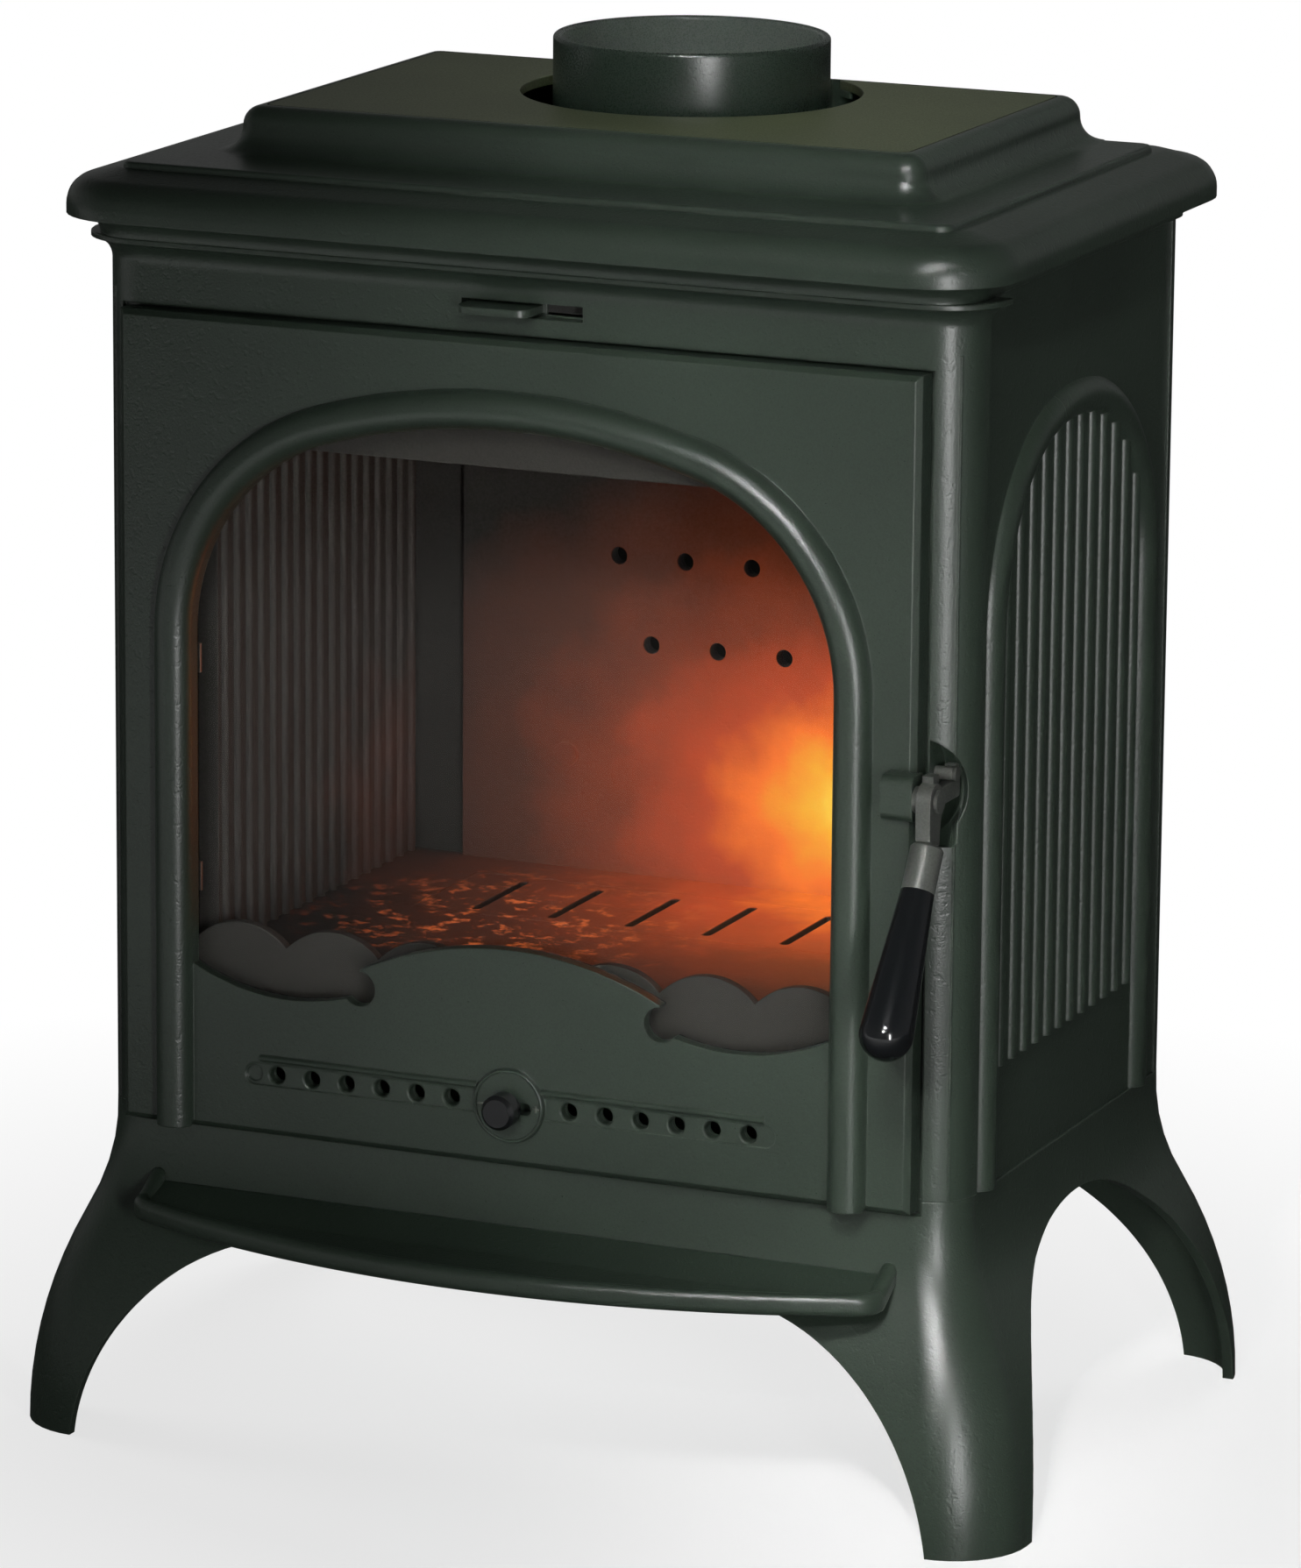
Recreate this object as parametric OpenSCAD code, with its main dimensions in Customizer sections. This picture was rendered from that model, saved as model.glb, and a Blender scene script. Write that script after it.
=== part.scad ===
// Cast-iron wood stove with a glazed door, an ash lip, a lift latch and a top flue collar.
// X runs across the stove, the front faces -Y, Z is up and the feet stand on z = 0.

/* [Body] */
// Width of the body across its corner columns
body_w = 500; // [460:5:560]
// Depth of the body from the front columns to the back panel
body_d = 320; // [290:5:380]
// Height of the body's foot, where the panels stand on the base
seam_z = 180; // [176:1:190]
// Height of the panels' top edges
body_top_z = 656; // [650:1:700]
// Radius of the four upright corners
corner_r = 26; // [20:1:30]
// Thickness of the outer cast walls
wall = 8; // [6:0.5:9]
// How far the side panels lie back from the columns
side_recess = 1.5; // [0.5:0.5:3]

/* [Base] */
// How far the legs flare out at the floor
foot_flare = 41; // [25:1:50]
// Radius of the hollow curve below the seam
flare_hollow_r = 128; // [110:1:150]
// Radius of the full curve that ends the leg
flare_full_r = 265; // [230:5:300]
// Height of the front and rear arches
front_arch_h = 133; // [115:1:145]
// Half width of the front and rear arches where they spring
front_arch_half = 251; // [235:1:256]
// Radius of the front arch's shoulders
front_shoulder_r = 136; // [115:1:140]
// Height of the side arches
side_arch_h = 147; // [120:1:152]
// Radius of the side arches
side_arch_r = 157; // [130:1:165]
// How far the side arches lie behind the middle of the body
side_arch_back = 6; // [0:1:10]
// Thickness of the legs and the apron
leg_t = 6; // [5:0.5:8]

/* [Ash lip] */
// Half width of the ash lip
lip_half = 218; // [190:1:225]
// How far the lip's ends stand out from the body front
lip_end_out = 32; // [25:1:40]
// How far the lip's middle stands out from the body front
lip_mid_out = 80; // [60:1:85]
// Height of the lip's lower edge
lip_z = 124; // [115:1:126]
// Height of the lip's front rim
lip_rim_h = 12; // [8:1:15]
// Width of the lip's front rim
lip_rim_w = 9; // [6:0.5:14]
// Thickness of the lip's dish
lip_t = 5; // [4:0.5:7]

/* [Door] */
// Margin from the body's left side to the door
door_margin_left = 18.4; // [18:0.1:22]
// Margin from the body's right side to the door
door_margin_right = 24.2; // [24:0.1:26]
// Margin from the body's top to the door
door_margin_top = 37.8; // [37:0.1:45]
// Height of the door's bottom edge
door_z = 174.4; // [173:0.1:178]
// How far the door's face stands out from the body front
door_proud = 10; // [8:0.5:12]
// Thickness of the door at its rim
door_t = 15; // [15:0.5:17]
// Thickness of the door's face
door_skin = 7; // [6:0.5:8]
// Bevel on the door's front edges
door_bevel = 3; // [2:0.5:3]
// Centre of the arched window
window_x = -4; // [-6:0.5:0]
// Half width of the window
window_half = 185; // [170:1:186]
// Height of the window's crown
window_top = 571; // [540:1:572]
// Radius of the window's shoulders
window_shoulder_r = 114; // [90:1:125]
// Radius of the window's crown
window_crown_r = 354; // [330:1:400]
// Radius of the half-round bead round the window
bead_r = 10.5; // [8:0.5:11]
// Height of the hump in the middle of the window's sill
hump_z = 292.3; // [280:0.1:300]
// Radius of the hump
hump_r = 196; // [170:1:230]
// Half width of the hump
hump_half = 87; // [70:1:95]
// Lowest height of the window's sill
sill_z = 250.5; // [246:0.5:256]
// Radius of the two hollows beside the hump
sill_r = 120; // [100:1:150]
// Radius of the hooks at the hump's ends
hook_r = 9.5; // [6:0.5:11]

/* [Air controls] */
// Height of the row of air holes
air_z = 207.7; // [206:0.1:209]
// Distance between neighbouring air holes
air_pitch = 20.6; // [18:0.1:21]
// Distance from the middle to the first air hole
air_first = 34.2; // [32:0.1:36]
// Number of air holes on each side
air_count = 6; // [4:1:6]
// Diameter of the air holes
air_d = 9; // [7:0.5:10]
// Middle of the row of air holes
air_x = -2.2; // [-4:0.1:0]
// Diameter of the air knob
knob_d = 19; // [15:0.5:22]
// Length of the air knob
knob_len = 11; // [8:0.5:16]
// Width of the slot in the upper band
band_slot_w = 69; // [60:1:80]
// Height of the slot in the upper band
band_slot_h = 8; // [7:0.5:9]
// Width of the upper air lever's tab
tab_w = 41; // [34:0.5:43]
// How far the tab stands out of the band
tab_out = 14; // [8:0.5:18]

/* [Latch] */
// Height of the latch pivot
pivot_z = 400; // [380:1:420]
// How far the pivot stands out from the body front
pivot_out = 18.5; // [18:0.5:20]
// Radius of the latch pivot pin
pivot_r = 3; // [2.5:0.1:3.5]
// Thickness of the latch arm
arm_t = 8; // [6:0.5:9]
// How far the middle of the latch arm lies inside the body's right side
arm_in = 12.7; // [11.5:0.1:14]
// Lean of the handle from upright
handle_lean = 31.5; // [20:0.5:35]
// Length from the ferrule's top to the centre of the grip's round end
handle_len = 101.6; // [85:0.1:115]
// Length of the ferrule
ferrule_len = 25; // [18:0.5:30]
// Radius of the ferrule
ferrule_r = 8.8; // [7:0.1:10]
// Radius of the grip's round end
grip_r = 14.2; // [12:0.1:16]
// Radius of the catch sleeve
sleeve_r = 3.5; // [3:0.1:4]

/* [Hinge] */
// Radius of the hinge pins
pin_r = 2.5; // [2:0.1:2.6]
// Height of each hinge lug
lug_h = 16; // [12:1:20]
// Height of the lower hinge lug's middle
hinge_low_z = 225; // [215:1:240]
// Height of the upper hinge lug's middle
hinge_high_z = 565; // [550:1:572]
// Running clearance of pins in the pieces that turn on them
run_gap = 0.05; // [0.03:0.01:0.08]

/* [Firebox] */
// Height of the hearth's top face
hearth_z = 268; // [264:1:272]
// Thickness of the hearth plate
hearth_t = 10; // [8:1:12]
// Half width between the side linings
lining_half = 187; // [180:1:192]
// Thickness of the side linings
lining_t = 12; // [9:0.5:14]
// Distance from the body front to the rear lining's face
firebox_d = 262; // [240:1:270]
// Height of the baffle plate at its rear edge
baffle_z = 500; // [485:1:510]
// Slope of the baffle plate
baffle_slope = 10.3; // [6:0.1:12]
// Depth of the baffle plate along its slope
baffle_d = 178; // [150:1:190]
// Height of the log guard's lobes
guard_z = 286; // [278:1:290]
// Width of one lobe of the log guard
lobe_w = 54.5; // [50:0.5:55]
// Number of lobes on the log guard
lobe_count = 7; // [5:1:7]
// Distance between the grate's slots
slot_pitch = 46; // [40:1:50]
// Width of the grate's slots
slot_w = 6; // [4:0.5:10]
// Length of the grate's slots
slot_len = 70; // [50:1:80]

/* [Top] */
// How far the top plate overhangs the sides
top_over = 19.5; // [15:0.5:26]
// How far the top plate overhangs the front
top_over_front = 30; // [24:0.5:34]
// How far the top plate overhangs the back
top_over_rear = 26; // [20:0.5:30]
// Height of the top plate's rim above the panels
rim_h = 34.3; // [30:0.1:38]
// Height of the stepped deck above the panels
deck_h = 39; // [36:0.5:44]
// Half width of the raised plateau
plateau_half = 196; // [180:1:205]
// Depth of the raised plateau
plateau_d = 244.5; // [225:0.5:250]
// Height of the plateau above the panels
plateau_h = 63; // [55:0.5:70]
// Thickness of the top plate
top_t = 7; // [5:0.5:8]
// Outer radius of the flue collar
collar_r = 75; // [60:0.5:80]
// Wall of the flue collar
collar_t = 4.5; // [3:0.5:6]
// Height of the collar's rim above the floor
collar_z = 750; // [735:1:780]
// Radius of the cover plate's clearance hole
cover_hole_r = 92.8; // [86:0.1:96]

/* [Hidden] */

$fn = 64;
eps = 0.5;                       // how far a cut runs past a face
slack = 0.3;                     // gap between pieces that seat loosely

// Handle, measured in the plane of the latch arm
root_drop = 24;                  // from the pivot down to the ferrule's top
root_out = 1.3;                  // from the pivot out to the ferrule's top
handle_reach = pivot_out + root_out + handle_len * sin(handle_lean) + grip_r;

// The origin is under the middle of the whole stove, feet and handle included
body_y = (handle_reach - foot_flare) / 2;
half_w = body_w / 2;
half_d = body_d / 2;
front_y = body_y - half_d;
rear_y = body_y + half_d;
panel_h = body_top_z - seam_z;
corner_y = front_y + corner_r;   // where the front columns end
back_corner_y = rear_y - corner_r;
side_x = half_w - side_recess;   // outer face of the side panels
side_in = side_x - wall;         // inner face of the side panels

// Door and the rebate that it closes into
door_left = -half_w + door_margin_left;
door_right = half_w - door_margin_right;
door_w = door_right - door_left;
door_mid = (door_left + door_right) / 2;
door_top = body_top_z - door_margin_top;
door_h = door_top - door_z;
door_y = front_y - door_proud;
door_back = door_y + door_t;
rebate_y = door_back + 1;
rebate_in = rebate_y + wall;     // inner face of the frame behind the door
rebate_left = door_left - 3.4;
rebate_right = door_right + 3.2;
rebate_low = door_z - 2.4;
rebate_top = door_top + 1.8;
skin_in = door_y + door_skin;    // back of the door's face
rim_side = 28;                   // width of the door's thick rim
rim_low = 20;
gasket_in = 20;                  // from the door's edge to the gasket's middle
gasket_low = 9.8;
gasket_w = 8.4;

// Openings in the frame
fire_left = door_mid - 197;
fire_right = door_mid + 197;
fire_low = 246;
fire_top = 575;
pan_door_half = 165;
deck_z = seam_z + wall;          // floor of the ash compartment
pan_door_top = 236;

// Hinge
hinge_x = door_left + door_t / 2;
hinge_y = door_y + door_t / 2;
lug_r = pin_r + 2.1;

// Latch
pivot_y = front_y - pivot_out;
sleeve_y = rebate_y + wall / 2;
sleeve_z = pivot_z + 8.5;
pocket_x = rebate_right + 0.5;   // flat inner side of the scoop in the column
finger_in = norm([sleeve_y - pivot_y, sleeve_z - pivot_z]) + sleeve_r + 0.4;
finger_t = 4;
finger_out = finger_in + finger_t;
scoop_r = 28.2;
scoop_x = half_w - 28;
scoop_y = front_y - 1.5;
arm_x = half_w - arm_in;
arm_left = arm_x - arm_t / 2;
latch_lug_left = door_right - 13.8;
latch_lug_right = door_right + 4;
latch_lug_half = 12;
latch_lug_out = 14;

// Firebox
hearth_low = hearth_z - hearth_t;
lining_out = lining_half + lining_t;
rear_face = front_y + firebox_d;
rear_t = 6;
box_y = rear_face + rear_t;      // front face of the rear air box
back_in = rear_y - wall;         // inner face of the back panel
grate_x = -5;
grate_y = body_y + 26;
grate_t = 8;
grate_half = 2.5 * slot_pitch + 10;
ledge_w = 6;
top_ledge_z = body_top_z - 16;
inner_top_t = 6;

// Top
collar_y = body_y + 57.5;
plateau_y = body_y + 20.7;
plateau_z = body_top_z + plateau_h;
deck_top = body_top_z + deck_h;
cover_in = 11;                   // rim of the plateau round the cover plate
cover_t = 5;
cover_seam = 1;
plate_z = body_top_z;

cast_grey = "#3b3f3a";
dark_iron = "#2c2e2b";
steel = "#8d8f8e";
black = "#0d0e0e";

// ---------------------------------------------------------------- shared shapes

// Solid drawn in the XZ plane, t deep from y0 towards the rear
module xz(y0, t) {
    translate([0, y0 + t, 0]) rotate([90, 0, 0]) linear_extrude(t) children();
}

// Solid drawn in the YZ plane, t thick from x0 towards the right
module yz(x0, t) {
    translate([x0, 0, 0]) rotate([90, 0, 90]) linear_extrude(t) children();
}

// Box between two corners
module box(low, high) {
    translate(low) cube(high - low);
}

// Cylinder along X from x0, through the point (y, z)
module x_rod(x0, len, y, z, r) {
    translate([x0, y, z]) rotate([0, 90, 0]) cylinder(r = r, h = len);
}

// Cylinder along Y from y0 towards the rear, through the point (x, z)
module y_rod(x, y0, len, z, r) {
    translate([x, y0, z]) rotate([-90, 0, 0]) cylinder(r = r, h = len);
}

module rounded_rect(hx, hy, r) {
    square([2 * hx, 2 * (hy - r)], center = true);
    square([2 * (hx - r), 2 * hy], center = true);
    for (sx = [-1, 1], sy = [-1, 1])
        translate([sx * (hx - r), sy * (hy - r)]) circle(r);
}

// Points along an arc, from angle a0 to a1 in n steps
function arc_points(cx, cy, r, a0, a1, n) =
    [for (i = [0:n]) let (a = a0 + (a1 - a0) * i / n) [cx + r * cos(a), cy + r * sin(a)]];

// Ring of points round a rounded rectangle, grown by offset, at height z
function ring(hx, hy, r, offset, z, seg = 6) = let (rr = max(0.5, r + offset))
    [for (q = [0:3], i = [0:seg]) let (
            a = 90 * q + 90 * i / seg,
            sx = q == 0 || q == 3 ? 1 : -1, sy = q < 2 ? 1 : -1)
        [sx * (hx + offset - rr) + rr * cos(a), sy * (hy + offset - rr) + rr * sin(a), z]];

// Solid skinned over a stack of rings that all have n points, lowest first
module stack_of_rings(rings) {
    n = len(rings[0]);
    top = len(rings) - 1;
    sides = [for (k = [0:top - 1], j = [0:n - 1]) let (
            a = k * n + j, b = k * n + (j + 1) % n) [a, a + n, b + n, b]];
    polyhedron([for (r = rings) each r], concat(sides, [[for (j = [0:n - 1]) j]],
        [[for (j = [n - 1:-1:0]) top * n + j]]));
}

// Block whose sides all carry one moulding: edge is a list of [offset, z], low to high
module moulded_block(hx, hy, r, edge)
    stack_of_rings([for (e = edge) ring(hx, hy, r, e[0], e[1], 9)]);

// Springing height of a three-centred arch, and where its shoulder meets its crown
function spring_z(half, top, shoulder, crown) =
    top - crown + sqrt(pow(crown - shoulder, 2) - pow(half - shoulder, 2));
function crown_x(half, shoulder, crown) = (half - shoulder) * crown / (crown - shoulder);

// Filled three-centred arch standing on z0
module arch(half, top, shoulder, crown, z0) {
    zs = spring_z(half, top, shoulder, crown);
    xt = crown_x(half, shoulder, crown);
    translate([-half, z0]) square([2 * half, zs - z0]);
    for (s = [-1, 1]) translate([s * (half - shoulder), zs]) circle(shoulder);
    intersection() {
        translate([0, top - crown]) circle(crown);
        translate([-xt, zs - eps]) square([2 * xt, top - zs + 2 * eps]);
    }
}

// Half-round bead along a three-centred arch, standing out towards -Y from y = 0
module arch_bead(half, top, shoulder, crown, z0, r, sink = 0) {
    zs = spring_z(half, top, shoulder, crown);
    turn = acos((half - shoulder) / (crown - shoulder));
    for (s = [0, 1]) mirror([s, 0, 0]) {
        translate([half - shoulder, 0, zs]) rotate([90, 0, 0])
            rotate_extrude(angle = turn) half_round(shoulder, r, sink);
        translate([half, 0, z0]) linear_extrude(zs - z0) rotate(180) half_round(0, r, sink);
    }
    translate([0, 0, top - crown]) rotate([90, 0, 0]) rotate([0, 0, turn])
        rotate_extrude(angle = 180 - 2 * turn) half_round(crown, r, sink);
}

// Rounded section at a radius, its centre sunk below the face that carries it
module half_round(radius, r, sink) {
    translate([radius, 0]) intersection() {
        translate([0, -sink]) circle(r);
        translate([-r, -1]) square([2 * r, r + 1]);
    }
}

// Hexagon nut or head, standing on z = 0
module hexagon(across, h) {
    cylinder(r = across / sqrt(3), h = h, $fn = 6);
}

// ---------------------------------------------------------------- base and ash lip

// Outward flare of the base at height z: a hollow arc, then a full arc to the floor
flare_top = seam_z - 5;
flare_turn_z = seam_z - 62;
flare_turn = asin((flare_top - flare_turn_z) / flare_hollow_r);
function raw_flare(z) =
    z >= flare_top ? 0
    : z > flare_turn_z ? flare_hollow_r - sqrt(pow(flare_hollow_r, 2) - pow(flare_top - z, 2))
    : flare_hollow_r * (1 - cos(flare_turn)) - flare_full_r * cos(flare_turn)
        + sqrt(pow(flare_full_r, 2)
            - pow(z - flare_turn_z + flare_full_r * sin(flare_turn), 2));
function flare(z) = raw_flare(max(z, 0)) * foot_flare / raw_flare(0);

// Corners of the base tighten a little as it flares
function base_ring(z, inset, seg) = let (
        e = flare(z) - inset,
        r = max(2, corner_r + 0.4 * flare(z) - inset),
        hx = half_w + e, hy = half_d + e)
    [for (q = [0:3], i = [0:seg]) let (
            a = 90 * q + 90 * i / seg,
            sx = q == 0 || q == 3 ? 1 : -1, sy = q < 2 ? 1 : -1)
        [sx * (hx - r) + r * cos(a), body_y + sy * (hy - r) + r * sin(a), z]];

// Flared tub from low_z to top_z, its walls set in by inset
module flared_tub(inset, low_z, top_z) {
    steps = 14;
    stack_of_rings([for (k = [0:steps])
        base_ring(low_z + (top_z - low_z) * k / steps, inset, 9)]);
}

module base_casting() color(cast_grey) {
    difference() {
        union() {
            difference() {
                flared_tub(0, 0, seam_z);
                flared_tub(leg_t, -eps, seam_z - wall);
            }
            deck_slab(seam_z - wall, deck_z, 0);
        }
        deck_slab(seam_z - 2 * wall, seam_z, 10);
        box([rebate_left, front_y - 5, rebate_low], [rebate_right, rebate_y, deck_z + eps]);
        xz(front_y - foot_flare - 5, body_d + 2 * foot_flare + 10)
            arch(front_arch_half, front_arch_h, front_shoulder_r, front_crown_r, -20);
        x_rod(-half_w - foot_flare - 5, body_w + 2 * foot_flare + 10,
            body_y + side_arch_back, side_arch_h - side_arch_r, side_arch_r);
        for (p = rod_places) translate([p[0], p[1], 0]) cylinder(r = rod_r + 0.5, h = deck_z + 1);
        for (s = [-1, 1])
            y_rod(s * lip_screw_x, lip_screw_y, lip_screw_len + 5, lip_screw_z, lip_screw_r);
    }
}

// Raised deck that the frame, the panels and the ash pan locate on
module deck_slab(low, high, inset) intersection() {
    box([-side_in + slack + inset, rebate_in + slack + inset, low],
        [side_in - slack - inset, back_in - slack - inset, high]);
    inside_walls(low, high, slack + inset);
}

// Space inside the outer walls between two heights, drawn in by inset
module inside_walls(low, high, inset) translate([0, body_y, low]) linear_extrude(high - low)
    rounded_rect(half_w - wall - inset, half_d - wall - inset, corner_r - wall - inset);

rod_r = 4;
rod_places = [for (s = [-1, 1], y = [front_y + 41, rear_y - 38]) [s * (half_w - 30), y]];
front_crown_r = 642;
lip_screw_x = lip_half - 20;
lip_screw_z = lip_z + 7;
lip_screw_r = 2;
lip_screw_y = front_y - 18;      // blind ends of the screws, inside the lip's back
lip_screw_len = front_y - lip_screw_y;

// Bow of the ash lip's front, and the rounding of its ends along the rim's middle
lip_sag = lip_mid_out - lip_end_out;
lip_bow_r = (pow(lip_half, 2) + lip_sag * lip_sag) / (2 * lip_sag);
lip_bow_y = front_y - lip_mid_out + lip_bow_r;
lip_mid_r = lip_bow_r - lip_rim_w / 2;
lip_corner_r = 13;
lip_corner_x = lip_half - lip_rim_w / 2 - lip_corner_r;
lip_turn = asin(lip_corner_x / (lip_mid_r - lip_corner_r));
lip_corner_y = lip_bow_y - (lip_mid_r - lip_corner_r) * cos(lip_turn);

// Plan of the ash lip inside the middle of its rim
module lip_plan() offset(r = lip_corner_r) offset(delta = -lip_corner_r) intersection() {
    translate([0, lip_bow_y]) circle(lip_mid_r, $fn = 160);
    translate([-lip_half + lip_rim_w / 2, front_y - lip_mid_out])
        square([2 * lip_half - lip_rim_w, lip_mid_out + 20]);
}

// Stations along the rim, from its right end to its left: turn from the front, step past
// the corner towards the base. The ends climb a little.
lip_stations = concat(
    [for (d = [30, 20, 10]) [90, d]],
    [for (i = [8:-1:1]) [lip_turn + (90 - lip_turn) * i / 8, 0]],
    [for (i = [24:-1:-24]) [lip_turn * i / 24, 0]],
    [for (i = [1:8]) [-lip_turn - (90 - lip_turn) * i / 8, 0]],
    [for (d = [10, 20, 30]) [-90, d]]);
function lip_ring(a, d) = let (
        side = a < 0 ? -1 : 1,
        on_bow = abs(a) <= lip_turn,
        x = on_bow ? lip_mid_r * sin(a) : side * lip_corner_x + lip_corner_r * sin(a),
        y = on_bow ? lip_bow_y - lip_mid_r * cos(a) : lip_corner_y - lip_corner_r * cos(a),
        z = lip_z + lip_rim_h / 2 + 0.6 * d)
    [for (q = ring(lip_rim_w / 2, lip_rim_h / 2, 4, 0, 0, 4))
        [x + q[0] * sin(a), y + d - q[0] * cos(a), z + q[1]]];

module ash_lip() color(cast_grey) difference() {
    union() {
        stack_of_rings([for (p = lip_stations) lip_ring(p[0], p[1])]);
        // Dish, rising to the base at the back
        intersection() {
            translate([0, 0, lip_z + 0.5]) linear_extrude(lip_rim_h + 10) lip_plan();
            yz(-lip_half, 2 * lip_half) polygon([
                [front_y - lip_mid_out, lip_z], [front_y - lip_mid_out, lip_z + lip_t],
                [front_y - 30, lip_z + lip_t + 2], [front_y + 1, lip_z + 18],
                [front_y + 1, lip_z]]);
        }
    }
    // The lip's back follows the flare of the base
    flared_tub(-0.2, 0, seam_z);
    for (s = [-1, 1])
        y_rod(s * lip_screw_x, lip_screw_y, lip_screw_len, lip_screw_z, lip_screw_r);
}

// Screws put in from inside the apron
module ash_lip_screws() color(dark_iron) for (s = [-1, 1]) {
    y_rod(s * lip_screw_x, lip_screw_y, lip_screw_len, lip_screw_z, lip_screw_r);
    y_rod(s * lip_screw_x, front_y, 2, lip_screw_z, 3.8);
}

// ---------------------------------------------------------------- outer casing

// Plan of the body's outer wall
module wall_plan() translate([0, body_y]) difference() {
    rounded_rect(half_w, half_d, corner_r);
    rounded_rect(half_w - wall, half_d - wall, corner_r - wall);
}

module front_frame() color(cast_grey) difference() {
    union() {
        translate([0, 0, seam_z]) linear_extrude(panel_h) intersection() {
            wall_plan();
            translate([-half_w, front_y]) square([body_w, corner_r]);
        }
        box([-half_w + wall, rebate_y, seam_z], [half_w - wall, rebate_in, band_low]);
        // Ledge that carries the hearth plate
        box([-190, rebate_in - 1, hearth_low - 8], [190, rebate_in + 6, hearth_low]);
        crown_moulding();
        pocket_boss();
        for (z = [hinge_low_z, hinge_high_z]) hinge_lug(z);
    }
    difference() {
        box([rebate_left, front_y - 5, seam_z - 1], [rebate_right, rebate_y, rebate_top]);
        for (z = [hinge_low_z, hinge_high_z]) hinge_lug(z);
    }
    box([fire_left, rebate_y - 5, fire_low], [fire_right, rebate_in + 20, fire_top]);
    box([door_mid - pan_door_half, rebate_y - 5, deck_z],
        [door_mid + pan_door_half, rebate_in + 20, pan_door_top]);
    box([-band_slot_w / 2 - 1.5, front_y - 5, band_slot_z], [band_slot_w / 2 - 1.5,
        rebate_in, band_slot_z + band_slot_h]);
    for (z = [hinge_low_z, hinge_high_z])
        translate([hinge_x, hinge_y, z - lug_h]) cylinder(r = pin_r, h = 2 * lug_h);
    pocket_cut();
    x_rod(catch_x0, pocket_x - catch_x0 + eps, sleeve_y, sleeve_z, catch_stud_r);
    for (s = [-1, 1]) y_rod(s * band_screw_x, front_y + 3, 20, keeper_mid_z, band_screw_r);
}

band_low = rebate_top + 7.4;     // top edge of the wall behind the door
band_slot_z = band_low + 2.1;
band_screw_x = 112;
band_screw_r = 2;
keeper_mid_z = band_low + 8;
catch_x0 = half_w - 32;
catch_stud_r = 2.2;

// Cove and fine bead under the top plate, across the front and round the columns
crown_edge = concat(
    [[-1, body_top_z - 17], [0, body_top_z - 16]],
    arc_points(11, body_top_z - 14.5, 11, 180, 100, 7),
    [[11.3, body_top_z - 3], [11.3, body_top_z - 0.6], [10.7, body_top_z]]);
module crown_moulding() difference() {
    intersection() {
        translate([0, body_y, 0]) moulded_block(half_w, half_d, corner_r, crown_edge);
        box([-half_w - 20, front_y - 20, seam_z], [half_w + 20, corner_y, body_top_z + 1]);
    }
    inside_walls(body_top_z - 30, body_top_z + 1, 0);
}

// Ear on the frame that holds one hinge pin
module hinge_lug(z) translate([hinge_x, 0, z - lug_h / 2]) {
    translate([0, hinge_y, 0]) cylinder(r = lug_r, h = lug_h);
    translate([-lug_r, hinge_y, 0]) cube([2 * lug_r, rebate_y - hinge_y + 1, lug_h]);
}

// Cast pocket behind the scoop, closed inside the column
module pocket_boss() intersection() {
    union() {
        translate([scoop_x, scoop_y, pivot_z]) sphere(r = scoop_r + 5);
        box([pocket_x - 5, rebate_y, pivot_z - 35], [half_w - 4, pivot_y + finger_out + 4.5,
            pivot_z + 22]);
    }
    box([pocket_x - 5, rebate_y, pivot_z - 60], [half_w, corner_y - slack, pivot_z + 60]);
    translate([0, body_y, pivot_z - 60]) linear_extrude(120)
        rounded_rect(half_w, half_d, corner_r);
}

// Scoop in the column, with room for the latch's finger to swing down
module pocket_cut() intersection() {
    union() {
        translate([scoop_x, scoop_y, pivot_z]) sphere(r = scoop_r);
        intersection() {
            x_rod(pocket_x, arm_x + arm_t / 2 + 1 - pocket_x, pivot_y, pivot_z, finger_out + 0.8);
            box([pocket_x, front_y - 30, pivot_z - 29.5], [half_w, corner_y, pivot_z + 17]);
        }
    }
    box([pocket_x, front_y - 60, pivot_z - 60], [half_w, corner_y - 1, pivot_z + 60]);
}

module back_panel() color(cast_grey) {
    translate([0, 0, seam_z]) linear_extrude(panel_h) intersection() {
        wall_plan();
        translate([-half_w, back_corner_y]) square([body_w, corner_r]);
    }
    // Ledge that carries the hearth plate
    box([-190, back_in - 6, hearth_low - 8], [190, back_in + 1, hearth_low]);
}

side_mid_y = body_y - 7;         // middle of the side arch
side_half = 113.5;               // half width to the middle of the side bead
side_crown_z = 581.5;            // height of the middle of the side bead's crown
side_shoulder_r = 103;           // radii of the bead's shoulders and of its crown
side_crown_r = 160;
side_bead_r = 10.5;
rib_count = 12;
rib_pitch = 2 * (side_half - side_bead_r) / rib_count;
rib_r = 4;
rib_low = seam_z + 62;

// Right side panel, with its beaded arch and ribs
module side_panel() {
    box([side_in, corner_y, seam_z], [side_x, back_corner_y, body_top_z]);
    box([side_in - 8, corner_y + 8, hearth_low - 8], [side_in + 1, back_corner_y - 8, hearth_low]);
    box([side_in - 8, corner_y + 8, top_ledge_z - 8], [side_in + 1, back_corner_y - 8,
        top_ledge_z]);
    translate([side_x, side_mid_y, 0]) rotate([0, 0, 90])
        arch_bead(side_half, side_crown_z, side_shoulder_r, side_crown_r, seam_z, side_bead_r, 4);
    // Upright ribs, cut off by the inside of the arch
    intersection() {
        union() for (i = [0:rib_count - 1])
            translate([side_x - 1, side_mid_y + (i - (rib_count - 1) / 2) * rib_pitch, rib_low])
                cylinder(r = rib_r, h = panel_h, $fn = 24);
        yz(side_x - 5, 20) translate([side_mid_y, 0])
            arch(side_half - 7, side_crown_z - 7, side_shoulder_r - 7, side_crown_r - 7, rib_low);
        box([side_x - 0.5, corner_y, seam_z], [side_x + rib_r, back_corner_y, body_top_z]);
    }
}

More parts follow.
